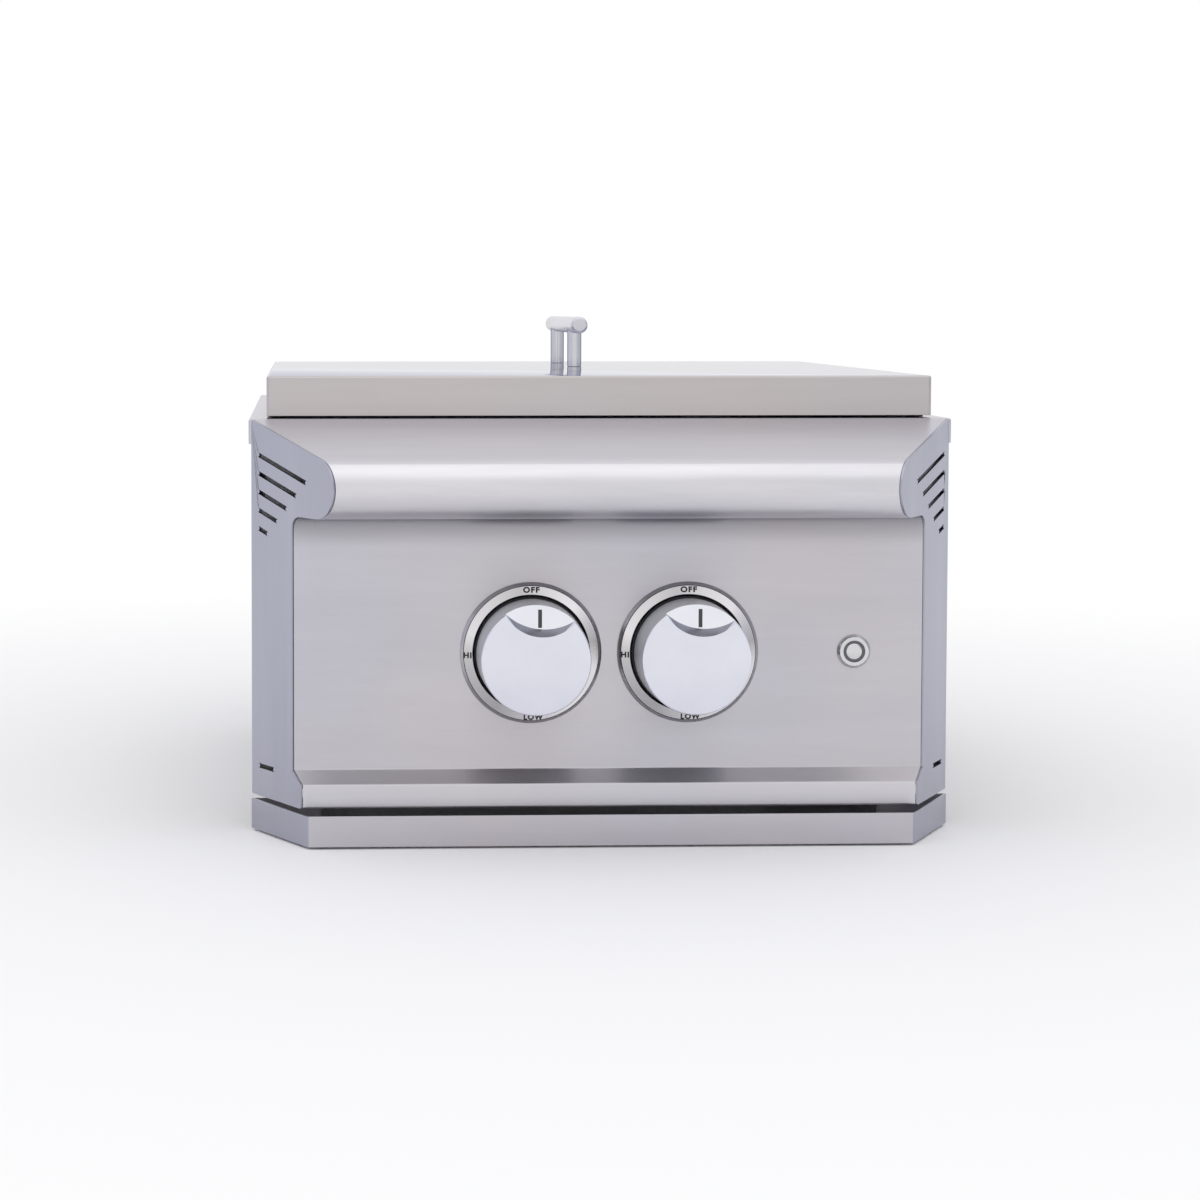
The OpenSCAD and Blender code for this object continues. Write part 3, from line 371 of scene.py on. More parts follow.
# %% [markdown]
# Polished, cast and moulded finishes
#
# The knobs and bezels are plated and polished, so they are mirrors with only a trace of wiping marks.
# Brass, glazed ceramic, rubber and the smoked ring round the button need no grain, but a little
# uneven roughness and colour keeps each from looking like a flat fill.

# %% The other finishes
SHADE_SHARE = 0.07
PLATED = {"metallic": 1.0, "uneven": 0.02, "scale": 30.0, "bump": 0.01}


def plain_finish(name, colour, roughness, metallic=0.0, uneven=0.05, scale=60.0, bump=0.05, coat=0.0,
                 rim=FULL_RIM):
    """A finish without grain. uneven is how far its roughness wanders to both sides."""
    tree, surface = new_finish(name)
    fill(surface, Metallic=metallic, Specular_Tint=(*rim, 1), Coat_Weight=coat)
    place = add_node(tree, "ShaderNodeTexCoord")
    marks = add_node(tree, "ShaderNodeTexNoise", Scale=scale, Detail=5.0, Roughness=0.6)
    join(tree, place, "Object", marks, "Vector")
    vary_roughness(tree, marks, surface, max(roughness - uneven, 0.01), roughness + uneven)
    add_relief(tree, marks, surface, bump)
    shade = add_node(tree, "ShaderNodeMix", data_type="RGBA",
                     A=(*[value * (1 - SHADE_SHARE) for value in colour], 1),
                     B=(*[min(value * (1 + SHADE_SHARE), 1) for value in colour], 1))
    join(tree, marks, "Fac", shade, "Factor")
    join(tree, shade, "Result", surface, "Base Color")


plain_finish("satin_steel", (0.62, 0.62, 0.63), 0.25, metallic=1.0)
plain_finish("handle_steel", (0.60, 0.585, 0.63), 0.24, metallic=1.0)
plain_finish("button_steel", (0.66, 0.66, 0.67), 0.16, metallic=1.0)
plain_finish("polished_chrome", (0.72, 0.73, 0.80), 0.05, **PLATED)
plain_finish("scoop_floor", (0.80, 0.81, 0.87), 0.08, **PLATED)
# Darker than the rest of the plated knob: painted shade on the wall of the scoop.
plain_finish("scoop_wall", (0.27, 0.28, 0.31), 0.28, **PLATED)
plain_finish("knob_side", (0.50, 0.505, 0.53), 0.38, metallic=0.3, scale=30.0, bump=0.01)
# Darker than the land of the bezel: painted shade on the bezel's side.
plain_finish("bezel_rim", (0.46, 0.45, 0.47), 0.25, metallic=1.0, scale=40.0, bump=0.02)
plain_finish("post_steel", (0.60, 0.595, 0.62), 0.09, metallic=1.0, uneven=0.03, rim=(0.05, 0.05, 0.05))
# Near black: painted shade in bores and grooves.
plain_finish("recess", (0.05, 0.05, 0.055), 0.5)
plain_finish("pointer_ink", (0.045, 0.045, 0.05), 0.5)
plain_finish("mark_ink", (0.012, 0.012, 0.014), 0.6)
plain_finish("brass", (0.66, 0.50, 0.24), 0.32, metallic=1.0, uneven=0.08, scale=140.0)
plain_finish("cast_brass", (0.60, 0.44, 0.20), 0.42, metallic=1.0, uneven=0.12, scale=260.0, bump=0.25)
plain_finish("ceramic", (0.80, 0.79, 0.75), 0.20, coat=0.5)
plain_finish("rubber", (0.03, 0.03, 0.03), 0.70, bump=0.3)
plain_finish("light_ring", (0.09, 0.09, 0.10), 0.22, coat=0.3)
print("finishes:", ", ".join(FINISH))

# %% [markdown]
# A finish for every node of the CAD model
#
# The record names a material slot for each node, and each slot has a finish of the same name. Pieces
# that are dressed further down replace their nodes, and all the others are shown with the finish that
# they get here.

# %% Give every CAD node its finish
slot_of = {part["node"]: part["material_slot"] for part in frame["record"]["subparts"]}
for node_name, node_object in frame["nodes"].items():
    node_object.data.materials.clear()
    node_object.data.materials.append(FINISH[slot_of[node_name]])
print("slots:", ", ".join(sorted(set(slot_of.values()))))

# %% [markdown]
# Turning a mesh into a piece
#
# Each new piece is built in a bmesh, in metres and in place, so its object can stay at the origin.
# Folded sheet has a wall and no knife edges. The Solidify modifier gives the wall on the inner side,
# and the Bevel modifier rounds what is still sharp. Hardened normals keep the flat faces flat, which
# matters on polished metal, where a bent normal shows at once as a bent reflection.

# %% Helpers for pieces
SHARP = math.radians(32)
CREASE = math.radians(40)
SHEET_EDGE = 0.3 * MM
SAME_HEIGHT = 0.01 * MM
UP = (0, 0, 1)
DOWN = (0, 0, -1)
FRONT = (0, -1, 0)


def add_edge(piece, width, segments=3, sharp=SHARP):
    """Rounds every edge of a piece that is sharper than an angle."""
    bevel = piece.modifiers.new("edge", "BEVEL")
    bevel.width = width
    bevel.segments = segments
    bevel.limit_method = "ANGLE"
    bevel.angle_limit = sharp
    bevel.harden_normals = True


def add_piece(name, bm, body, finish, wall=0.0, edge=0.0, inside=None, crease=None):
    """Makes a piece from a bmesh. inside names the finish of the hidden side of its wall.

    crease is the angle from which an edge is shaded sharp.
    """
    piece = to_object(name, bm)
    mesh = piece.data
    mesh.materials.append(FINISH[finish])
    mesh.shade_smooth()
    if crease:
        mesh.set_sharp_from_angle(angle=crease)
    if wall:
        solid = piece.modifiers.new("wall", "SOLIDIFY")
        solid.thickness = wall
        solid.offset = -1
        solid.use_even_offset = True
        if inside:
            mesh.materials.append(FINISH[inside])
            solid.material_offset = 1
    if edge:
        add_edge(piece, edge)
    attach(piece, body)
    print(name + ":", len(mesh.polygons), "faces")
    return piece


def paint(piece, finish, test, inside=None):
    """Gives the faces that pass the test another finish. The test gets a face's middle and normal."""
    index = len(piece.data.materials)
    piece.data.materials.append(FINISH[finish])
    if inside:
        piece.data.materials.append(FINISH[inside])
    for polygon in piece.data.polygons:
        if test(polygon.center, polygon.normal):
            polygon.material_index = index


def round_edges(bm, edges, radius, segments=4):
    bmesh.ops.bevel(bm, geom=edges, offset=radius, offset_type="OFFSET", affect="EDGES",
                    segments=segments, profile=0.5, material=-1, clamp_overlap=True)


def block(low, high):
    bm = bmesh.new()
    bmesh.ops.create_cube(bm, size=1)
    size = high - low
    bmesh.ops.scale(bm, vec=size, verts=bm.verts)
    bmesh.ops.translate(bm, vec=(low + high) / 2, verts=bm.verts)
    return bm


def faces_towards(bm, direction, share=0.9):
    bm.normal_update()
    return [face for face in bm.faces if face.normal.dot(Vector(direction)) > share]


def face_out(bm, direction):
    """Points the faces of an open sheet the same way, with most of its area towards the direction."""
    bmesh.ops.recalc_face_normals(bm, faces=bm.faces)
    bm.normal_update()
    if sum(face.normal.dot(Vector(direction)) * face.calc_area() for face in bm.faces) < 0:
        bmesh.ops.reverse_faces(bm, faces=bm.faces)


def upright_edges(bm):
    return [edge for edge in bm.edges
            if abs(edge.verts[0].co.z - edge.verts[1].co.z) > edge.calc_length() * 0.9]


def edges_at_height(bm, height):
    return [edge for edge in bm.edges
            if all(abs(vertex.co.z - height) < SAME_HEIGHT for vertex in edge.verts)]


def verts_in(parts):
    """The vertices in what an operator gives back."""
    return [part for part in parts if isinstance(part, bmesh.types.BMVert)]


def all_parts(bm):
    return bm.verts[:] + bm.edges[:] + bm.faces[:]


def upturned_pan(low, high, corner, fold, corner_segments=4):
    """A block without its bottom, with ground corners and a folded top edge."""
    bm = block(low, high)
    bmesh.ops.delete(bm, geom=faces_towards(bm, DOWN), context="FACES_ONLY")
    round_edges(bm, upright_edges(bm), corner, corner_segments)
    top = faces_towards(bm, UP)[0]
    round_edges(bm, list(top.edges), fold)
    return bm

# %% [markdown]
# The lid
#
# The lid is a shallow pan turned upside down: a flat top, four sides folded down and their corners
# welded and ground round, with a hem turned in at the foot so that no raw edge shows. A cube with its
# bottom taken away is the quickest start. Its upright edges get the ground corner, its top edges the
# fold, and its open foot is turned in for the hem.

# %% Lid
LID_WALL = 1.2 * MM
LID_HEM = 12 * MM
LID_CORNER = 2.6 * MM
LID_FOLD = 1.8 * MM


def turn_in(bm, edges, width, low, high):
    """Turns a flat hem in from the foot of a box."""
    out = bmesh.ops.extrude_edge_only(bm, edges=edges)
    size = high - low
    shrink = (1 - 2 * width / size.x, 1 - 2 * width / size.y, 1)
    bmesh.ops.scale(bm, vec=shrink, space=Matrix.Translation(-(low + high) / 2),
                    verts=verts_in(out["geom"]))


def lid():
    low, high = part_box("lid_pan")
    bm = upturned_pan(low, high, LID_CORNER, LID_FOLD, corner_segments=5)
    turn_in(bm, edges_at_height(bm, low.z), LID_HEM, low, high)
    face_out(bm, UP)
    piece = add_piece("lid_shell", bm, "lid", "lid_front", wall=LID_WALL, edge=SHEET_EDGE)
    paint(piece, "lid_top", lambda middle, normal: normal.z > 0.9)
    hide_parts("lid_pan")


lid()

# %% [markdown]
# The deck
#
# The deck is the frame that hangs in the counter. Its rim is folded down all round, and a narrow
# return under the left, right and back rests on the counter. It starts as the same upturned pan as the
# lid. Its flat top is then taken off and filled again with triangles round the burner opening.

# %% Deck
DECK_WALL = 1.5 * MM
DECK_RETURN = 14 * MM
DECK_CORNER = 2.4 * MM
DECK_FOLD = 1.8 * MM
FIREBOX_FLANGE = 12 * MM
FIREBOX_WALL = 1.2 * MM
DECK_LIP = 3 * MM
LEVEL = 0.999


def open_deck(bm, height):
    """Takes the top off the deck and fills it again round the opening over the firebox."""
    top = faces_towards(bm, UP, LEVEL)[0]
    bmesh.ops.delete(bm, geom=[top], context="FACES_ONLY")
    box_low, box_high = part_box("firebox")
    margin = FIREBOX_FLANGE + FIREBOX_WALL + DECK_LIP
    low = Vector((box_low.x + margin, box_low.y + margin, height))
    high = Vector((box_high.x - margin, box_high.y - margin, height))
    hole = bmesh.ops.create_grid(bm, x_segments=1, y_segments=1, size=0.5)["verts"]
    bmesh.ops.scale(bm, vec=(*(high - low).xy, 1), verts=hole)
    bmesh.ops.translate(bm, vec=(low + high) / 2, verts=hole)
    hole_face = [face for face in bm.faces if all(vertex in hole for vertex in face.verts)]
    bmesh.ops.delete(bm, geom=hole_face, context="FACES_ONLY")
    bmesh.ops.triangle_fill(bm, use_beauty=True, use_dissolve=False, edges=edges_at_height(bm, height))
    for face in faces_towards(bm, UP, LEVEL) + faces_towards(bm, DOWN, LEVEL):
        place = face.calc_center_median()
        if low.x < place.x < high.x and low.y < place.y < high.y:
            bm.faces.remove(face)


def turn_return(bm, low, high):
    """Turns a narrow return in under the left, the right and the back of the deck."""
    foot = [edge for edge in edges_at_height(bm, low.z)
            if edge.is_boundary and (edge.verts[0].co.y + edge.verts[1].co.y) / 2 > low.y + DECK_CORNER]
    out = bmesh.ops.extrude_edge_only(bm, edges=foot)
    centre = (low + high) / 2
    for vertex in verts_in(out["geom"]):
        if abs(vertex.co.x - centre.x) > (high.x - low.x) / 2 - 2 * DECK_CORNER:
            vertex.co.x += math.copysign(DECK_RETURN, centre.x - vertex.co.x)
        if vertex.co.y > high.y - 2 * DECK_CORNER:
            vertex.co.y -= DECK_RETURN


def deck():
    low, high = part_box("deck_frame")
    bm = upturned_pan(low, high, DECK_CORNER, DECK_FOLD)
    open_deck(bm, high.z)
    turn_return(bm, low, high)
    face_out(bm, UP)
    piece = add_piece("deck_rim", bm, "chassis", "brushed_sheet", wall=DECK_WALL,
                      edge=SHEET_EDGE)
    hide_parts("deck_frame")


deck()

# %% [markdown]
# The bent housing
#
# The hood, the bullnose and the control panel are bent from sheet along the width, so their shape is
# one outline seen from the side. The outline is walked like a bending plan: a straight step extrudes
# the last point, and a bend spins it round the bend's centre. The wire is then drawn out along the
# width, and the two ends are cut off along the slant of the end caps.

# %% The bending plan
HOUSING_HALF = 255 * MM
CAP_ANGLE = math.radians(29.5)
SHEET = 1.5 * MM
HOUSING_EDGE = 0.2 * MM
NOSE_REACH = 103 * MM
NOSE_R = 21.5 * MM
NOSE_STEPS = 40
HOOD_FALL = math.radians(15.4)
PANEL_REACH = 51.5 * MM
FILLET_R = 10 * MM
FILLET_STEPS = 12
KICK_REACH = 62.5 * MM
PANEL_FOOT = 53 * MM
KICK_TOP = 44 * MM
KICK_BOTTOM = 27 * MM
KICK_RETURN = 12 * MM
BEND_R = 1.6 * MM
CUT_WITHIN = 0.0001 * MM

deck_low, deck_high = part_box("deck_frame")
SEAM_Y = deck_low.y
DECK_TOP = deck_high.z
NOSE_Y = SEAM_Y - NOSE_REACH + NOSE_R
NOSE_Z = DECK_TOP - (SEAM_Y - NOSE_Y) * math.tan(HOOD_FALL) - NOSE_R / math.cos(HOOD_FALL)
HOOD_END = (NOSE_Y - NOSE_R * math.sin(HOOD_FALL), NOSE_Z + NOSE_R * math.cos(HOOD_FALL))
UNDER_Z = NOSE_Z - NOSE_R
PANEL_Y = SEAM_Y - PANEL_REACH
KICK_Y = SEAM_Y - KICK_REACH
FILLET_Y = PANEL_Y - FILLET_R


def start_at(bm, y, z):
    return bm.verts.new((0, y, z))


def step_to(bm, vertex, y, z):
    tip = bmesh.ops.extrude_vert_indiv(bm, verts=[vertex])["verts"][0]
    bmesh.ops.translate(bm, verts=[tip], vec=(0, y - vertex.co.y, z - vertex.co.z))
    return tip


def bend(bm, vertex, centre, angle, steps):
    out = bmesh.ops.spin(bm, geom=[vertex], cent=(0, *centre), axis=(1, 0, 0), angle=angle,
                         steps=steps, use_duplicate=False)
    return verts_in(out["geom_last"])[0]


def fold_corner(bm, vertex, corner, next_point, radius=BEND_R, steps=4):
    """Walks to a corner, rounds it and leaves towards the next point."""
    arrive = (Vector(corner) - Vector(vertex.co.yz)).normalized()
    leave = (Vector(next_point) - Vector(corner)).normalized()
    turn = arrive.angle_signed(leave)
    back = radius * math.tan(abs(turn) / 2)
    tangent = Vector(corner) - arrive * back
    vertex = step_to(bm, vertex, tangent.x, tangent.y)
    side = -1 if turn > 0 else 1
    centre = tangent + Vector((-arrive.y, arrive.x)) * radius * side
    return bend(bm, vertex, centre, side * abs(turn), steps)


def walk_nose(bm, vertex):
    """Goes down the hood, round the bullnose and back under it as far as the fillet."""
    vertex = step_to(bm, vertex, *HOOD_END)
    vertex = bend(bm, vertex, (NOSE_Y, NOSE_Z), math.pi - HOOD_FALL, NOSE_STEPS)
    return step_to(bm, vertex, FILLET_Y, UNDER_Z)


def walk_panel(bm, vertex):
    """Goes round the fillet and down the panel, its sloping fold and the upright kick strip."""
    vertex = bend(bm, vertex, (FILLET_Y, UNDER_Z - FILLET_R), -math.pi / 2, FILLET_STEPS)
    vertex = fold_corner(bm, vertex, (PANEL_Y, PANEL_FOOT), (KICK_Y, KICK_TOP))
    return fold_corner(bm, vertex, (KICK_Y, KICK_TOP), (KICK_Y, KICK_BOTTOM))


def nose_wire(bm):
    walk_nose(bm, start_at(bm, SEAM_Y, DECK_TOP))


def panel_wire(bm):
    vertex = walk_panel(bm, start_at(bm, FILLET_Y, UNDER_Z))
    return_end = (KICK_Y + KICK_RETURN, KICK_BOTTOM)
    vertex = fold_corner(bm, vertex, (KICK_Y, KICK_BOTTOM), return_end)
    step_to(bm, vertex, *return_end)


def draw_out(bm, half):
    """Draws a wire out along the width, from the left to the right."""
    bmesh.ops.translate(bm, verts=bm.verts, vec=(-half, 0, 0))
    out = bmesh.ops.extrude_edge_only(bm, edges=bm.edges)
    bmesh.ops.translate(bm, verts=verts_in(out["geom"]), vec=(2 * half, 0, 0))


def cut_to_caps(bm, inset):
    """Cuts both ends along the slant of the caps, an inset short of them."""
    for side in (-1, 1):
        normal = Vector((side * math.cos(CAP_ANGLE), -math.sin(CAP_ANGLE), 0))
        point = Vector((side * HOUSING_HALF, SEAM_Y, 0)) - normal * inset
        bmesh.ops.bisect_plane(bm, geom=all_parts(bm), dist=CUT_WITHIN, plane_co=point, plane_no=normal,
                               clear_outer=True)


def bent_sheet(name, wire, finish):
    """Makes one sheet of the housing from its wire."""
    bm = bmesh.new()
    wire(bm)
    draw_out(bm, HOUSING_HALF)
    cut_to_caps(bm, SHEET)
    face_out(bm, FRONT)
    # The hidden side of the sheet is painted dark as shade.
    return add_piece(name, bm, "chassis", finish, wall=SHEET, edge=HOUSING_EDGE,
                     inside="inner_painted_shade")


print("housing: nose", round(NOSE_Z / MM, 1), "mm up, its underside", round(UNDER_Z / MM, 1), "mm up")

# %% [markdown]
# Hood and control panel
#
# Both are one bend of sheet each, but the light doesn't fall on them evenly. The bullnose looks at the
# bright front of the room, the fold above the kick strip looks down, and under the nose the panel
# loses light towards its top. So light and shade are painted into their colour: the bullnose and the
# kick strip get brighter copies of the sheet as painted light, the fold a darker one as painted shade,
# and the panel's colour darkens towards the nose as painted shade. A smooth fade is better than paint
# there, because the edge of a painted face would show as a line.

# %% Hood and control panel
NOSE_START = math.radians(34)
UNSHADED_BELOW = 24 * MM
SHADED_ABOVE = 5 * MM
SHADED_SHARE = 0.66


def hood():
    piece = bent_sheet("hood_sheet", nose_wire, "brushed_sheet")
    # The bullnose faces get the brighter copy, painted light, and painted shade on their hidden side.
    paint(piece, "nose_painted_light", lambda middle, normal: normal.z < math.cos(NOSE_START), "inner_painted_shade")
    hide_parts("top_hood")


def panel():
    # The panel's colour darkens towards the nose as painted shade.
    brushed("panel", (0.55, 0.53, 0.565), 0.30, smear=0.85, cloud=0.045,
            fade=(UNDER_Z - UNSHADED_BELOW, UNDER_Z - SHADED_ABOVE, SHADED_SHARE))
    piece = bent_sheet("panel_sheet", panel_wire, "panel")
    # The fold above the kick strip gets the darker copy, painted shade.
    paint(piece, "fold_painted_shade", lambda middle, normal: KICK_TOP < middle.z < PANEL_FOOT, "inner_painted_shade")
    # The kick strip gets the brighter copy, painted light.
    paint(piece, "kick_painted_light", lambda middle, normal: middle.z < KICK_TOP, "inner_painted_shade")
    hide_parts("control_panel")


hood()
panel()

# %% [markdown]
# The end caps
#
# Each end of the housing is closed by a flat cap that stands at a slant, so that the front is narrower
# than the back. The cap has the outline of the bends with small rounds at its other corners, five
# sloping vents of shrinking length and one level vent near the foot. The outline and the vents are
# wires in one plane, and a triangle fill between them leaves the vents open. A shear then slants the
# flat sheet, its triangles are merged into large flat faces, and a small bevel gives it the ground rim
# that catches the light in the photograph.

# %% End caps
VENT_COUNT = 5
VENT_PITCH = 13.3 * MM
VENT_WIDTH = 3.4 * MM
VENT_RUN = 65 * MM
VENT_STEP = 12.2 * MM
VENT_INSET = 7.2 * MM
VENT_DROP = 25 * MM
VENT_STEPS = 8
FOOT_VENT_Z = 49 * MM
FOOT_VENT_RUN = 24 * MM
CAP_CORNER = 1.0 * MM
FLAT_WITHIN = math.radians(0.5)
WELD_WITHIN = 0.001 * MM


def cap_wire(bm):
    """Starts halfway up the back edge, so that both of its ends can be rounded."""
    first = start_at(bm, SEAM_Y, (DECK_TOP + KICK_BOTTOM) / 2)
    vertex = fold_corner(bm, first, (SEAM_Y, DECK_TOP), HOOD_END, CAP_CORNER)
    vertex = walk_panel(bm, walk_nose(bm, vertex))
    vertex = fold_corner(bm, vertex, (KICK_Y, KICK_BOTTOM), (SEAM_Y, KICK_BOTTOM), CAP_CORNER)
    vertex = fold_corner(bm, vertex, (SEAM_Y, KICK_BOTTOM), first.co.yz, CAP_CORNER)
    bm.edges.new((vertex, first))


def vent_wire(bm, z, run, fall):
    """A slot with round ends that starts near the back edge and falls towards the front."""
    half = VENT_WIDTH / 2
    slope = Vector((-math.cos(fall), -math.sin(fall)))
    across = Vector((math.sin(fall), -math.cos(fall))) * half
    back = Vector((SEAM_Y - VENT_INSET - half, z))
    front = back + slope * (run / math.cos(fall) - VENT_WIDTH)
    first = start_at(bm, *(back + across))
    vertex = step_to(bm, first, *(front + across))
    vertex = bend(bm, vertex, front, math.pi, VENT_STEPS)
    vertex = step_to(bm, vertex, *(back - across))
    last = bend(bm, vertex, back, math.pi, VENT_STEPS)
    bmesh.ops.remove_doubles(bm, verts=[first, last], dist=WELD_WITHIN)


def slant(side):
    """Shears a sheet in the Y-Z plane onto the slanted plane of an end cap."""
    matrix = Matrix.Identity(4)
    matrix[0][1] = side * math.tan(CAP_ANGLE)
    matrix[0][3] = side * (HOUSING_HALF - SEAM_Y * math.tan(CAP_ANGLE))
    return matrix


def end_cap(side, node):
    bm = bmesh.new()
    cap_wire(bm)
    for row in range(VENT_COUNT):
        height = DECK_TOP - VENT_DROP - row * VENT_PITCH
        vent_wire(bm, height, VENT_RUN - row * VENT_STEP, HOOD_FALL)
    vent_wire(bm, FOOT_VENT_Z, FOOT_VENT_RUN, 0.0)
    bmesh.ops.triangle_fill(bm, use_beauty=True, use_dissolve=False, edges=bm.edges)
    bmesh.ops.transform(bm, matrix=slant(side), verts=bm.verts)
    bm.normal_update()
    bmesh.ops.reverse_faces(bm, faces=[face for face in bm.faces if face.normal.x * side < 0])
    bm.normal_update()
    bmesh.ops.dissolve_limit(bm, angle_limit=FLAT_WITHIN, verts=bm.verts, edges=bm.edges)
    # The hidden side of the plate is painted dark as shade.
    # The plate's darker, bluer finish is painted shade for a face that looks to the side.
    piece = add_piece(node + "_plate", bm, "chassis", "cap_sheet", wall=SHEET,
                      edge=SHEET_EDGE, inside="inner_painted_shade")
    piece.data.shade_flat()
    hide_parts(node)


end_cap(-1, "end_cap_left")
end_cap(1, "end_cap_right")

# %% [markdown]
# The drip tray
#
# The tray slides out to the front. Behind, it is a long pan that runs under the burner. In front it
# widens to the slant of the end caps. Its floor is one flat outline, its walls are pulled up from the
# edge of the floor, and its upright corners are rounded as a press brake leaves them.

# %% Drip tray
TRAY_WALL = 1.2 * MM
TRAY_EDGE = 0.25 * MM
TRAY_REACH = 73 * MM
TRAY_INNER_HALF = 205 * MM
TRAY_CORNER = 1.6 * MM
TRAY_FOLD = 1.4 * MM


def drip_tray():
    low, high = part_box("drip_tray")
    front = SEAM_Y - TRAY_REACH
    front_half = high.x - TRAY_REACH * math.tan(CAP_ANGLE)
    corners = [(front_half, front), (high.x, SEAM_Y), (TRAY_INNER_HALF, SEAM_Y), (TRAY_INNER_HALF, high.y)]
    corners += [(-x, y) for x, y in reversed(corners)]
    bm = bmesh.new()
    floor = bm.faces.new([bm.verts.new((x, y, low.z)) for x, y in corners])
    out = bmesh.ops.extrude_face_region(bm, geom=[floor])
    top = verts_in(out["geom"])
    bmesh.ops.translate(bm, verts=top, vec=(0, 0, high.z - low.z))
    bm.normal_update()
    open_top = [face for face in bm.faces if all(vertex in top for vertex in face.verts)]
    bmesh.ops.delete(bm, geom=open_top, context="FACES_ONLY")
    round_edges(bm, upright_edges(bm), TRAY_CORNER, segments=3)
    round_edges(bm, edges_at_height(bm, low.z), TRAY_FOLD, segments=3)
    face_out(bm, DOWN)
    piece = add_piece("tray_pan", bm, "tray", "tray_sheet", wall=TRAY_WALL, edge=TRAY_EDGE)
    # The slanted wings get the cap finish: painted shade for faces that look to the sides.
    paint(piece, "cap_sheet", lambda middle, normal: middle.y < SEAM_Y and abs(normal.x) > 0.5)
    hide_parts("drip_tray")


drip_tray()

# %% [markdown]
# Turned pieces
#
# Knobs, bezels, the button and the handle are turned or pressed round, so each starts as one outline
# of radius and height that is spun round its axis. The front axis runs towards the viewer. An outline
# that doesn't reach the axis leaves a round hole, and where the real piece is solid the hole is closed
# with one flat face, which keeps a mirror finish free of the pinch that a pole would give.

# %% Helpers for turned pieces
FRONT_TURN = Matrix.Rotation(math.radians(90), 4, "X")


def spun(outline, steps, close=(), join_ends=False):
    """Spins (radius, height) points round Z. close names the outline ends to fill with a flat face."""
    bm = bmesh.new()
    verts = [bm.verts.new((radius, 0, height)) for radius, height in outline]
    for first, second in zip(verts, verts[1:]):
        bm.edges.new((first, second))
    if join_ends:
        bm.edges.new((verts[-1], verts[0]))
    bmesh.ops.spin(bm, geom=bm.verts[:] + bm.edges[:], cent=(0, 0, 0), axis=(0, 0, 1),
                   angle=2 * math.pi, steps=steps, use_merge=True, use_duplicate=False)
    bmesh.ops.remove_doubles(bm, verts=bm.verts, dist=WELD_WITHIN)
    for height in close:
        rim = [edge for edge in edges_at_height(bm, height) if edge.is_boundary]
        bmesh.ops.edgeloop_fill(bm, edges=rim)
    bmesh.ops.recalc_face_normals(bm, faces=bm.faces)
    return bm


def rounded(outline, radii, steps=5):
    """Rounds the corners of an outline: radii maps the number of a corner to its radius."""
    result = []
    for number, point in enumerate(outline):
        radius = radii.get(number)
        if radius is None:
            result.append(point)
            continue
        here = Vector(point)
        before = (Vector(outline[number - 1]) - here).normalized()
        after = (Vector(outline[number + 1]) - here).normalized()
        half = before.angle(after) / 2
        centre = here + (before + after).normalized() * radius / math.sin(half)
        start = here + before * radius / math.tan(half) - centre
        sweep = start.angle_signed(here + after * radius / math.tan(half) - centre)
        for count in range(steps + 1):
            arm = Matrix.Rotation(-sweep * count / steps, 2) @ start
            result.append(tuple(centre + arm))
    return result


def to_front(bm, x, y, z):
    """Turns a spun piece so that its heights run to the front, and puts it in place."""
    bmesh.ops.transform(bm, matrix=Matrix.Translation((x, y, z)) @ FRONT_TURN, verts=bm.verts)


def centre_of(node):
    """Where the axis of a piece that faces the front stands: across and up."""
    low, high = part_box(node)
    return (low.x + high.x) / 2, (low.z + high.z) / 2


def off_axis(middle, x, z):
    """Distance of a place from an axis that runs to the front."""
    return (middle.xz - Vector((x, z))).length

# %% [markdown]
# Knobs
#
# A knob is a polished cup that flares a little to the back. Its face is a flat mirror. A scoop is
# milled into the upper edge, and a dark line in its floor points to the marks on the bezel. The scoop
# is part of a circle that reaches past the knob, so the clean way is to cut it with a turned cutter.

# %% Knobs
KNOB_R = 38.3 * MM
KNOB_FLARE = 1.0 * MM
KNOB_EDGE = 1.2 * MM
KNOB_ROUND = 0.35 * MM
KNOB_WALL = 4 * MM
KNOB_HUB = 8 * MM
KNOB_HOLLOW = 28.5 * MM
KNOB_FLAT_SHARE = 0.2
KNOB_STEPS = 160
KNOB_TURN = math.radians(6)
STEM_R = 3 * MM
STEM_SEAT = 2 * MM
SCOOP_R = 30 * MM
SCOOP_START = 16.8 * MM
SCOOP_DEPTH = 6 * MM
SCOOP_FLOOR_R = 40 * MM
SCOOP_LEAN = 4.9 * MM
CUTTER_OVER = 4 * MM
CUTTER_STEPS = 128
NEAR = 0.05 * MM
RIM_BAND = 0.3 * MM
SIDE_TILT = 0.3
FACE_TILT = 0.95
POINTER_W = 2.7 * MM
POINTER_LEN = 12.8 * MM
POINTER_RAISE = 0.3 * MM
POINTER_EDGE = 0.1 * MM


def carve(piece, cutter_bm):
    """Cuts one mesh out of a piece and keeps the result as plain mesh."""
    cutter = to_object("cutter", cutter_bm)
    cut = piece.modifiers.new("cut", "BOOLEAN")
    cut.operation = "DIFFERENCE"
    cut.solver = "EXACT"
    cut.object = cutter
    with_cut = piece.evaluated_get(bpy.context.evaluated_depsgraph_get())
    result = bpy.data.meshes.new_from_object(with_cut)
    piece.modifiers.clear()
    piece.data = result
    bpy.data.objects.remove(cutter)


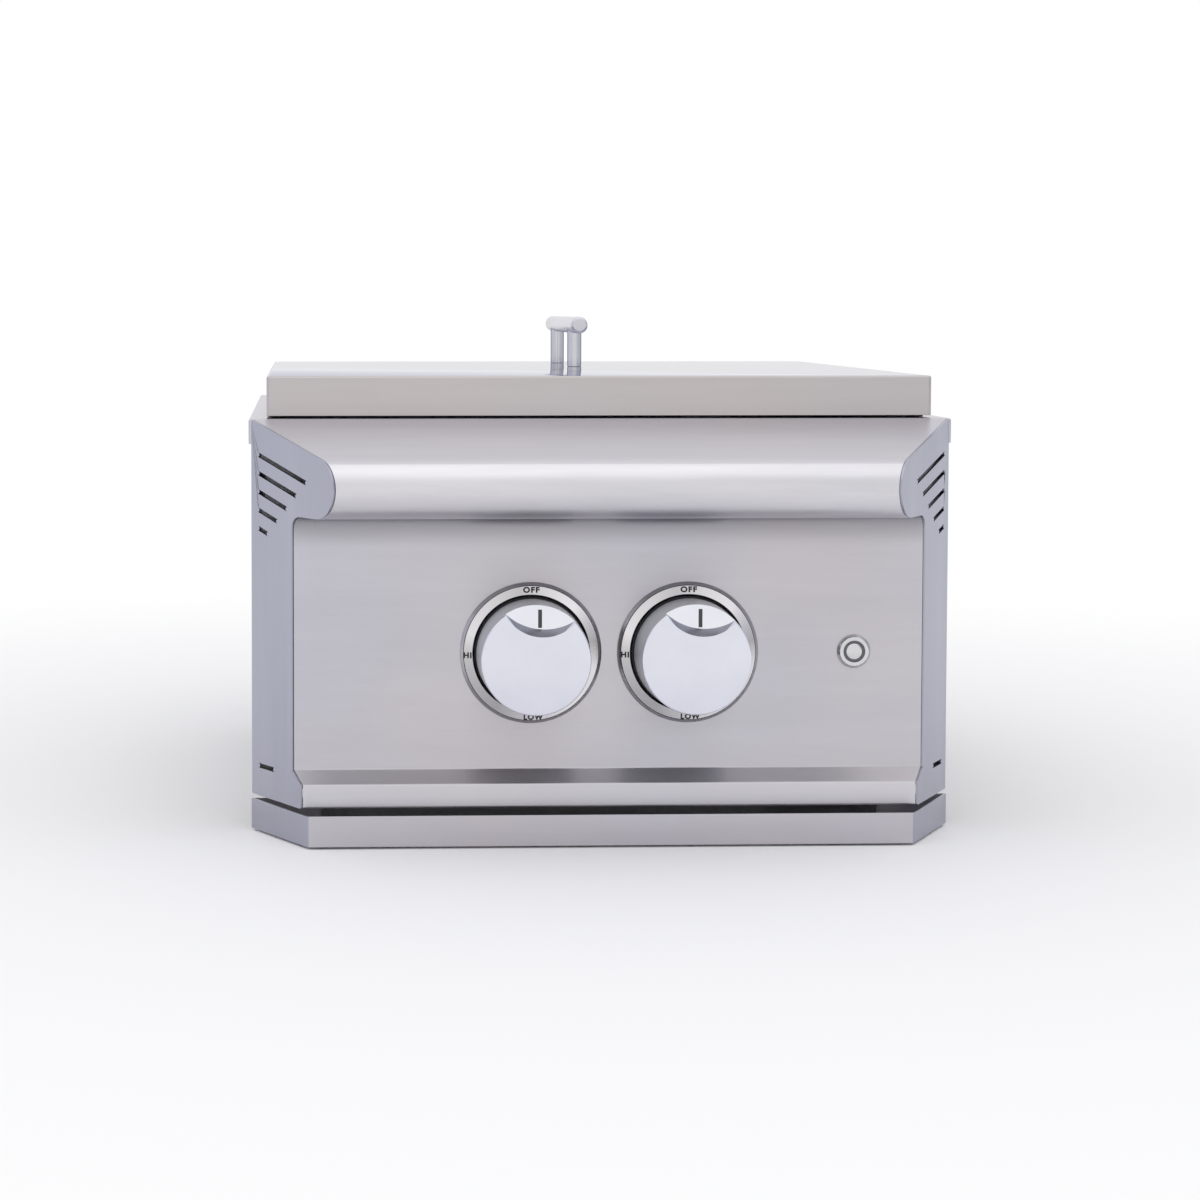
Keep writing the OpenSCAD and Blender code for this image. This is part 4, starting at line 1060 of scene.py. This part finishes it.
def scoop_cutter(face):
    """The form that is milled out of a knob: a round well with a wall that slopes to its floor."""
    floor = face - SCOOP_DEPTH
    over = face + CUTTER_OVER
    bm = spun([(0, floor), (SCOOP_FLOOR_R, floor), (SCOOP_R, face), (SCOOP_R, over), (0, over)],
              CUTTER_STEPS)
    floor_ring = [vertex for vertex in bm.verts if vertex.co.z < face - SCOOP_DEPTH / 2]
    bmesh.ops.translate(bm, vec=(0, SCOOP_LEAN + SCOOP_FLOOR_R - SCOOP_R, 0), verts=floor_ring)
    bmesh.ops.translate(bm, vec=(0, SCOOP_START + SCOOP_R, 0), verts=bm.verts)
    bmesh.ops.rotate(bm, matrix=Matrix.Rotation(-KNOB_TURN, 3, "Z"), verts=bm.verts)
    return bm


def pointer(side, floor_y):
    """A thin dark inlay on the floor of the scoop. It stands upright, as the photograph shows it."""
    low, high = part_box("knob_pointer_" + side)
    middle = (low + high) / 2
    middle.y = floor_y - POINTER_RAISE / 2
    half = Vector((POINTER_W, POINTER_RAISE, POINTER_LEN)) / 2
    bm = block(middle - half, middle + half)
    piece = add_piece("pointer_" + side, bm, "knob_" + side, "pointer_ink",
                      edge=POINTER_EDGE)
    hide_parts("knob_pointer_" + side)


def knob_cup(face):
    """The turned cup with its hub, from its back at height 0 to its face."""
    back = 0.0
    outline = [
        (STEM_R, KNOB_HOLLOW + STEM_SEAT),
        (STEM_R, back),
        (KNOB_HUB, back),
        (KNOB_HUB, KNOB_HOLLOW),
        (KNOB_R - KNOB_WALL, KNOB_HOLLOW),
        (KNOB_R - KNOB_WALL, back),
        (KNOB_R + KNOB_FLARE, back),
        (KNOB_R, face),
        (KNOB_R * KNOB_FLAT_SHARE, face),
    ]
    outline = rounded(outline, {6: KNOB_EDGE, 7: KNOB_EDGE})
    return spun(outline, KNOB_STEPS, close=(face, KNOB_HOLLOW + STEM_SEAT))


def knob(side, x, z):
    low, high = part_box("knob_" + side)
    face = high.y - low.y
    cup = knob_cup(face)
    to_front(cup, x, high.y, z)
    piece = add_piece("knob_%s_body" % side, cup, "knob_" + side, "polished_chrome")
    cutter = scoop_cutter(face)
    to_front(cutter, x, high.y, z)
    carve(piece, cutter)
    floor_y = low.y + SCOOP_DEPTH
    paint(piece, "scoop_floor", lambda middle, normal: abs(middle.y - floor_y) < NEAR)
    paint(piece, "knob_side", lambda middle, normal: abs(normal.y) < SIDE_TILT
          and off_axis(middle, x, z) > KNOB_R - RIM_BAND)
    # The wall of the scoop gets the darker copy, painted shade.
    paint(piece, "scoop_wall", lambda middle, normal: SIDE_TILT < -normal.y < FACE_TILT
          and low.y < middle.y < floor_y and off_axis(middle, x, z) < KNOB_R - MM)
    add_edge(piece, KNOB_ROUND)
    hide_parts("knob_" + side)
    pointer(side, floor_y)

# %% [markdown]
# The turned face of a bezel
#
# Round each knob lies a plated ring with a broad sloping land. The land is faced on a lathe, and its
# fine rings throw the light out in fans, as the face of a disc does. Those fans are painted reflections:
# a radial gradient round the axis of the ring paints them into the colour, and a ring-shaped wave gives
# the grooves.

# %% The turned face of a bezel
PAINTED_FANS = ((0.00, 0.54), (0.05, 0.76), (0.15, 0.64), (0.22, 0.52), (0.28, 0.66), (0.37, 0.84), (0.47, 0.40),
        (0.54, 0.76), (0.65, 0.88), (0.74, 0.66), (0.84, 0.40), (0.95, 0.49), (1.00, 0.54))
FACE_TINT = (1.0, 0.975, 1.0)
GROOVES = 700.0


def turned_face(name, x, z):
    """The faced land of a bezel whose axis stands at x and z."""
    tree, surface = new_finish(name)
    fill(surface, Metallic=1.0, Roughness=0.16)
    place = add_node(tree, "ShaderNodeTexCoord")
    centre = add_node(tree, "ShaderNodeMapping", Location=(-x, z, 0), Rotation=(math.radians(90), 0, 0))
    join(tree, place, "Object", centre, "Vector")
    turn = add_node(tree, "ShaderNodeTexGradient", gradient_type="RADIAL")
    join(tree, centre, "Vector", turn, "Vector")
    # The ramp paints light and dark fans round the axis into the base colour: painted reflections.
    painted_fans = add_node(tree, "ShaderNodeValToRGB")
    fill_ramp(painted_fans, [(share, (*[tone * part for part in FACE_TINT], 1)) for share, tone in PAINTED_FANS])
    join(tree, turn, "Fac", painted_fans, "Fac")
    join(tree, painted_fans, "Color", surface, "Base Color")
    rings = add_node(tree, "ShaderNodeTexWave", wave_type="RINGS", rings_direction="Z", Scale=GROOVES)
    join(tree, centre, "Vector", rings, "Vector")
    add_relief(tree, rings, surface, 0.04, depth=0.1 * MM)

# %% [markdown]
# Bezels
#
# A bezel is turned from one outline: a thin plate with a hole for the stem, a bore that leaves the
# knob free, a crest, the sloping land, and a fine groove that parts the land from the side. The side
# is painted darker and the groove and the bore near black, each by its distance from the axis, as
# painted shade.

# %% Bezels
BEZEL_R = 50.4 * MM
BEZEL_BAND = 10 * MM
BEZEL_H = 5.2 * MM
BEZEL_PLATE = 1.2 * MM
BEZEL_SIDE_H = 1.2 * MM
BEZEL_SLOPE_H = 3.8 * MM
BEZEL_STEP = 2.6 * MM
BEZEL_GROOVE = 0.5 * MM
BEZEL_CREST = 1.5 * MM
BEZEL_LIP = 0.8 * MM
STEM_HOLE_R = 6 * MM
BEZEL_STEPS = 160
BEZEL_ROUNDS = {2: 0.4 * MM, 6: 0.7 * MM, 7: 0.35 * MM}

BORE = BEZEL_R - BEZEL_BAND
CREST = (BORE + BEZEL_CREST, BEZEL_H)
SHOULDER = (BEZEL_R - BEZEL_STEP, BEZEL_SLOPE_H)
SIDE_TOP = (BEZEL_R, BEZEL_SIDE_H)
GROOVE_R = SHOULDER[0] + BEZEL_GROOVE


def bezel(side, x, z):
    outline = [
        (STEM_HOLE_R, 0),
        (BEZEL_R, 0),
        SIDE_TOP,
        (GROOVE_R, BEZEL_SLOPE_H - BEZEL_GROOVE),
        (SHOULDER[0], BEZEL_SLOPE_H - BEZEL_GROOVE),
        SHOULDER,
        CREST,
        (BORE, BEZEL_H - BEZEL_LIP),
        (BORE, BEZEL_PLATE),
        (STEM_HOLE_R, BEZEL_PLATE),
    ]
    bm = spun(rounded(outline, BEZEL_ROUNDS), BEZEL_STEPS, join_ends=True)
    to_front(bm, x, PANEL_Y, z)
    finish = "bezel_face_" + side
    turned_face(finish, x, z)
    piece = add_piece("bezel_%s_ring" % side, bm, "chassis", finish, crease=CREASE)
    # The side of the bezel gets the darker finish, painted shade.
    paint(piece, "bezel_rim", lambda middle, normal: off_axis(middle, x, z) > GROOVE_R)
    # The groove and the bore are painted near black as shade.
    paint(piece, "recess", lambda middle, normal: SHOULDER[0] - NEAR < off_axis(middle, x, z) < GROOVE_R)
    paint(piece, "recess", lambda middle, normal: off_axis(middle, x, z) < BORE + 2 * NEAR)
    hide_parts("bezel_" + side)

# %% [markdown]
# Marks
#
# Three plain marks are printed on the land: OFF at the top, HI at the left and LOW at the bottom.
# Letters start as a text curve, are turned into a mesh and sliced, and each point is then moved to the
# height of the slope below it, so that the letters follow the ring instead of floating in front of it.

# %% Marks
MARK_HEIGHT = 4.2 * MM
MARK_DEPTH = 0.15 * MM
MARK_SINK = 0.02 * MM
MARK_SLICE = 0.5 * MM
MARK_ROWS = 4
SLICE_WITHIN = 0.001 * MM
LETTER_WELD = 0.01 * MM
MARK_BOLD = 0.05
MARK_SPACING = 1.2
MARKS = {"OFF": (0.0, 45.2, 11.8), "HI": (-45.2, -1.2, 5.6), "LOW": (1.4, -45.6, 13.9)}


def height_between(start, end, radius):
    """Height at a radius on the straight line through two (radius, height) points."""
    share = (radius - start[0]) / (end[0] - start[0])
    return start[1] + share * (end[1] - start[1])


def land_height(radius):
    """Height of the bezel above the panel: its sloping land, and then the fall to its side."""
    if radius > SHOULDER[0]:
        return height_between(SHOULDER, SIDE_TOP, radius)
    return height_between(CREST, SHOULDER, radius)


def written(word):
    """The flat mesh of a word, as a bmesh."""
    curve = bpy.data.curves.new(word, "FONT")
    curve.body = word
    curve.align_x = "CENTER"
    curve.align_y = "CENTER"
    curve.size = 1.0
    curve.offset = MARK_BOLD
    curve.space_character = MARK_SPACING
    curve.resolution_u = 6
    text = bpy.data.objects.new(word, curve)
    bpy.context.collection.objects.link(text)
    bpy.context.view_layer.update()
    bm = bmesh.new()
    bm.from_mesh(bpy.data.meshes.new_from_object(text))
    bpy.data.objects.remove(text)
    bmesh.ops.remove_doubles(bm, verts=bm.verts, dist=LETTER_WELD)
    return bm


def span(bm, axis):
    """The lowest and the highest place of a mesh along an axis."""
    places = [vertex.co[axis] for vertex in bm.verts]
    return min(places), max(places)


def slice_up(bm, count, direction):
    """Cuts a flat mesh into strips on both sides of its middle, so that it can bend."""
    for step in range(-count, count + 1):
        bmesh.ops.bisect_plane(bm, geom=all_parts(bm), dist=SLICE_WITHIN, plane_no=direction,
                               plane_co=Vector(direction) * (step * MARK_SLICE))


def mark(side, word, x, z, across, up, wide):
    """Puts a word on the land of a bezel. Its place and width are in millimetres."""
    bm = written(word)
    foot, top = span(bm, 1)
    bmesh.ops.translate(bm, verts=bm.verts, vec=(0, -(foot + top) / 2, 0))
    left, right = span(bm, 0)
    bmesh.ops.scale(bm, verts=bm.verts, vec=(wide * MM / (right - left), MARK_HEIGHT / (top - foot), 1))
    slice_up(bm, MARK_ROWS, (0, 1, 0))
    slice_up(bm, int(wide), (1, 0, 0))
    bmesh.ops.translate(bm, verts=bm.verts, vec=(across * MM, up * MM, 0))
    out = bmesh.ops.extrude_face_region(bm, geom=bm.faces[:])
    bmesh.ops.translate(bm, verts=verts_in(out["geom"]), vec=(0, 0, MARK_DEPTH))
    bmesh.ops.recalc_face_normals(bm, faces=bm.faces)
    for vertex in bm.verts:
        vertex.co.z += land_height(vertex.co.xy.length) - MARK_SINK
    to_front(bm, x, PANEL_Y, z)
    piece = to_object("mark_%s_%s" % (word.lower(), side), bm)
    piece.data.materials.append(FINISH["mark_ink"])
    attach(piece, "chassis")


for side_name in ("left", "right"):
    knob_x, knob_z = centre_of("knob_" + side_name)
    knob(side_name, knob_x, knob_z)
    bezel(side_name, knob_x, knob_z)
    for word, (across, up, wide) in MARKS.items():
        mark(side_name, word, knob_x, knob_z, across, up, wide)
print("marks on each bezel:", ", ".join(MARKS))

# %% [markdown]
# The push button
#
# The button sits in a turned flange with a chamfered rim. A dark recess with a smoked light ring runs
# round the cap, and the cap itself is very slightly domed, which is why it mirrors a soft round glow.

# %% Push button
FLANGE_R = 12 * MM
FLANGE_H = 3.4 * MM
FLANGE_SIDE = 1.0 * MM
FLANGE_STEP = 1.8 * MM
LIGHT_RING_R = 7.7 * MM
BUTTON_R = 5.7 * MM
BARREL_R = 9.4 * MM
BUTTON_WELL = 6 * MM
BUTTON_DOME = 0.35 * MM
BUTTON_STEPS = 96
BUTTON_ROUNDS = {1: 0.4 * MM, 2: 0.7 * MM, 3: 0.3 * MM}
DOME_EDGE = 0.35 * MM
DOME_SHARES = (0.02, 0.2, 0.4, 0.6, 0.8, 0.93)


def button_flange(x, z):
    low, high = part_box("button_housing")
    front, back = 0.0, low.y - high.y
    outline = [
        (LIGHT_RING_R, front - BUTTON_WELL),
        (LIGHT_RING_R, front),
        (FLANGE_R - FLANGE_STEP, front),
        (FLANGE_R, front - FLANGE_H + FLANGE_SIDE),
        (FLANGE_R, front - FLANGE_H),
        (BARREL_R, front - FLANGE_H),
        (BARREL_R, back),
        (BUTTON_R, back),
        (BUTTON_R, front - BUTTON_WELL),
    ]
    bm = spun(rounded(outline, BUTTON_ROUNDS), BUTTON_STEPS, join_ends=True)
    to_front(bm, x, low.y, z)
    piece = add_piece("button_flange", bm, "chassis", "button_steel", crease=CREASE)
    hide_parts("button_housing")


def button_cap(x, z):
    low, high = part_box("button_cap")
    back = low.y - high.y
    radius = (high.x - low.x) / 2
    outline = [(radius * share, -BUTTON_DOME * share * share) for share in DOME_SHARES]
    outline += [(radius, -BUTTON_DOME - DOME_EDGE), (radius, back)]
    bm = spun(outline, BUTTON_STEPS, close=(outline[0][1], back))
    to_front(bm, x, low.y, z)
    piece = add_piece("button_face", bm, "button", "button_steel", crease=CREASE)
    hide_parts("button_cap")


button_x, button_z = centre_of("button_housing")
button_flange(button_x, button_z)
button_cap(button_x, button_z)

# %% [markdown]
# The lid handle
#
# The handle is a turned bar on two posts and runs from front to back. The ends of the bar are well
# rounded. The posts are polished rods that stand on the lid. A thin dark line near the foot of each
# post is the joint between the rod and the low ring that it stands on, so the outline has a groove, and
# the groove is painted near black as painted shade.

# %% Handle
HANDLE_EDGE = 2.0 * MM
HANDLE_FLAT_SHARE = 0.05
HANDLE_STEPS = 64
POST_RING = 2.3 * MM
POST_GROOVE = 0.5 * MM
POST_STEPS = 48


def handle_posts():
    """Both posts are copies of one turned rod. Their radius and places come from the CAD node."""
    low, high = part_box("handle_posts")
    radius = (high.x - low.x) / 2
    height = high.z - low.z
    neck = radius - POST_GROOVE
    groove_top = POST_RING + POST_GROOVE
    rod = spun([(0, 0), (radius, 0), (radius, POST_RING), (neck, POST_RING), (neck, groove_top),
                (radius, groove_top), (radius, height), (0, height)], POST_STEPS)
    copies = bmesh.ops.duplicate(rod, geom=all_parts(rod))
    bmesh.ops.translate(rod, vec=(0, high.y - low.y - 2 * radius, 0), verts=verts_in(copies["geom"]))
    bmesh.ops.translate(rod, vec=((low.x + high.x) / 2, low.y + radius, low.z), verts=rod.verts)
    posts = add_piece("handle_rods", rod, "lid", "post_steel", crease=CREASE)
    # The groove near the foot of each post is painted near black as shade.
    paint(posts, "recess", lambda middle, normal: low.z + POST_RING - SAME_HEIGHT < middle.z
          < low.z + groove_top + SAME_HEIGHT)
    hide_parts("handle_posts")


def handle_bar():
    low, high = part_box("handle_bar")
    radius = (high.x - low.x) / 2
    length = high.y - low.y
    flat = radius * HANDLE_FLAT_SHARE
    outline = rounded([(flat, 0), (radius, 0), (radius, length), (flat, length)],
                      {1: HANDLE_EDGE, 2: HANDLE_EDGE}, steps=6)
    bm = spun(outline, HANDLE_STEPS, close=(0, length))
    x, z = centre_of("handle_bar")
    to_front(bm, x, high.y, z)
    bar = add_piece("handle_grip", bm, "lid", "handle_steel", crease=CREASE)
    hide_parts("handle_bar")


handle_posts()
handle_bar()

# %% [markdown]
# The pieces under the lid and behind the panel
#
# The grate, the burner rings, the firebox, the valves and their carriers already have their true shape
# in the construction model, but its edges are perfectly sharp, and a sharp edge never catches the
# light. So each of them is copied, its loose triangles are merged and flattened into whole faces again,
# and its edges are eased by the radius that casting, folding or turning leaves on such a piece.

# %% Ease the edges of the inner pieces
EASED = {
    "cooking_grate": ("grate_steel", 0.8),
    "wok_ring": ("grate_steel", 0.8),
    "outer_burner_ring": ("cast_brass", 0.25),
    "inner_burner_ring": ("cast_brass", 0.25),
    "outer_venturi": ("firebox_sheet", 0.4),
    "inner_venturi": ("firebox_sheet", 0.4),
    "burner_supports": ("mill_steel", 0.4),
    "igniter_bracket": ("mill_steel", 0.3),
    "igniter_electrode": ("ceramic", 0.2),
    "firebox": ("firebox_sheet", 0.3),
    "grate_ledges": ("mill_steel", 0.3),
    "heat_shield": ("mill_steel", 0.3),
    "gas_manifold": ("mill_steel", 0.5),
    "gas_inlet": ("brass", 0.3),
    "valve_body_left": ("brass", 0.5),
    "valve_body_right": ("brass", 0.5),
    "tray_rail_left": ("mill_steel", 0.3),
    "tray_rail_right": ("mill_steel", 0.3),
    "lid_feet": ("rubber", 0.6),
}
MERGE_WITHIN = 0.002 * MM
EASED_CREASE = math.radians(30)
EASED_SHARP = math.radians(45)


def ease(node, finish, radius):
    """Stands a copy of a CAD node with eased edges in the node's place."""
    bm = bmesh.new()
    bm.from_mesh(frame["nodes"][node].data)
    bmesh.ops.remove_doubles(bm, verts=bm.verts, dist=MERGE_WITHIN)
    bmesh.ops.dissolve_limit(bm, angle_limit=FLAT_WITHIN, verts=bm.verts, edges=bm.edges)
    piece = add_piece(node + "_eased", bm, body_of[node], finish, crease=EASED_CREASE)
    add_edge(piece, radius * MM, segments=2, sharp=EASED_SHARP)
    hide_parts(node)


bodies = frame["record"]["behaviour"]["bodies"]
body_of = {node: body for body, members in bodies.items() for node in members}
for node, (finish, radius) in EASED.items():
    ease(node, finish, radius)
print("eased pieces:", len(EASED))
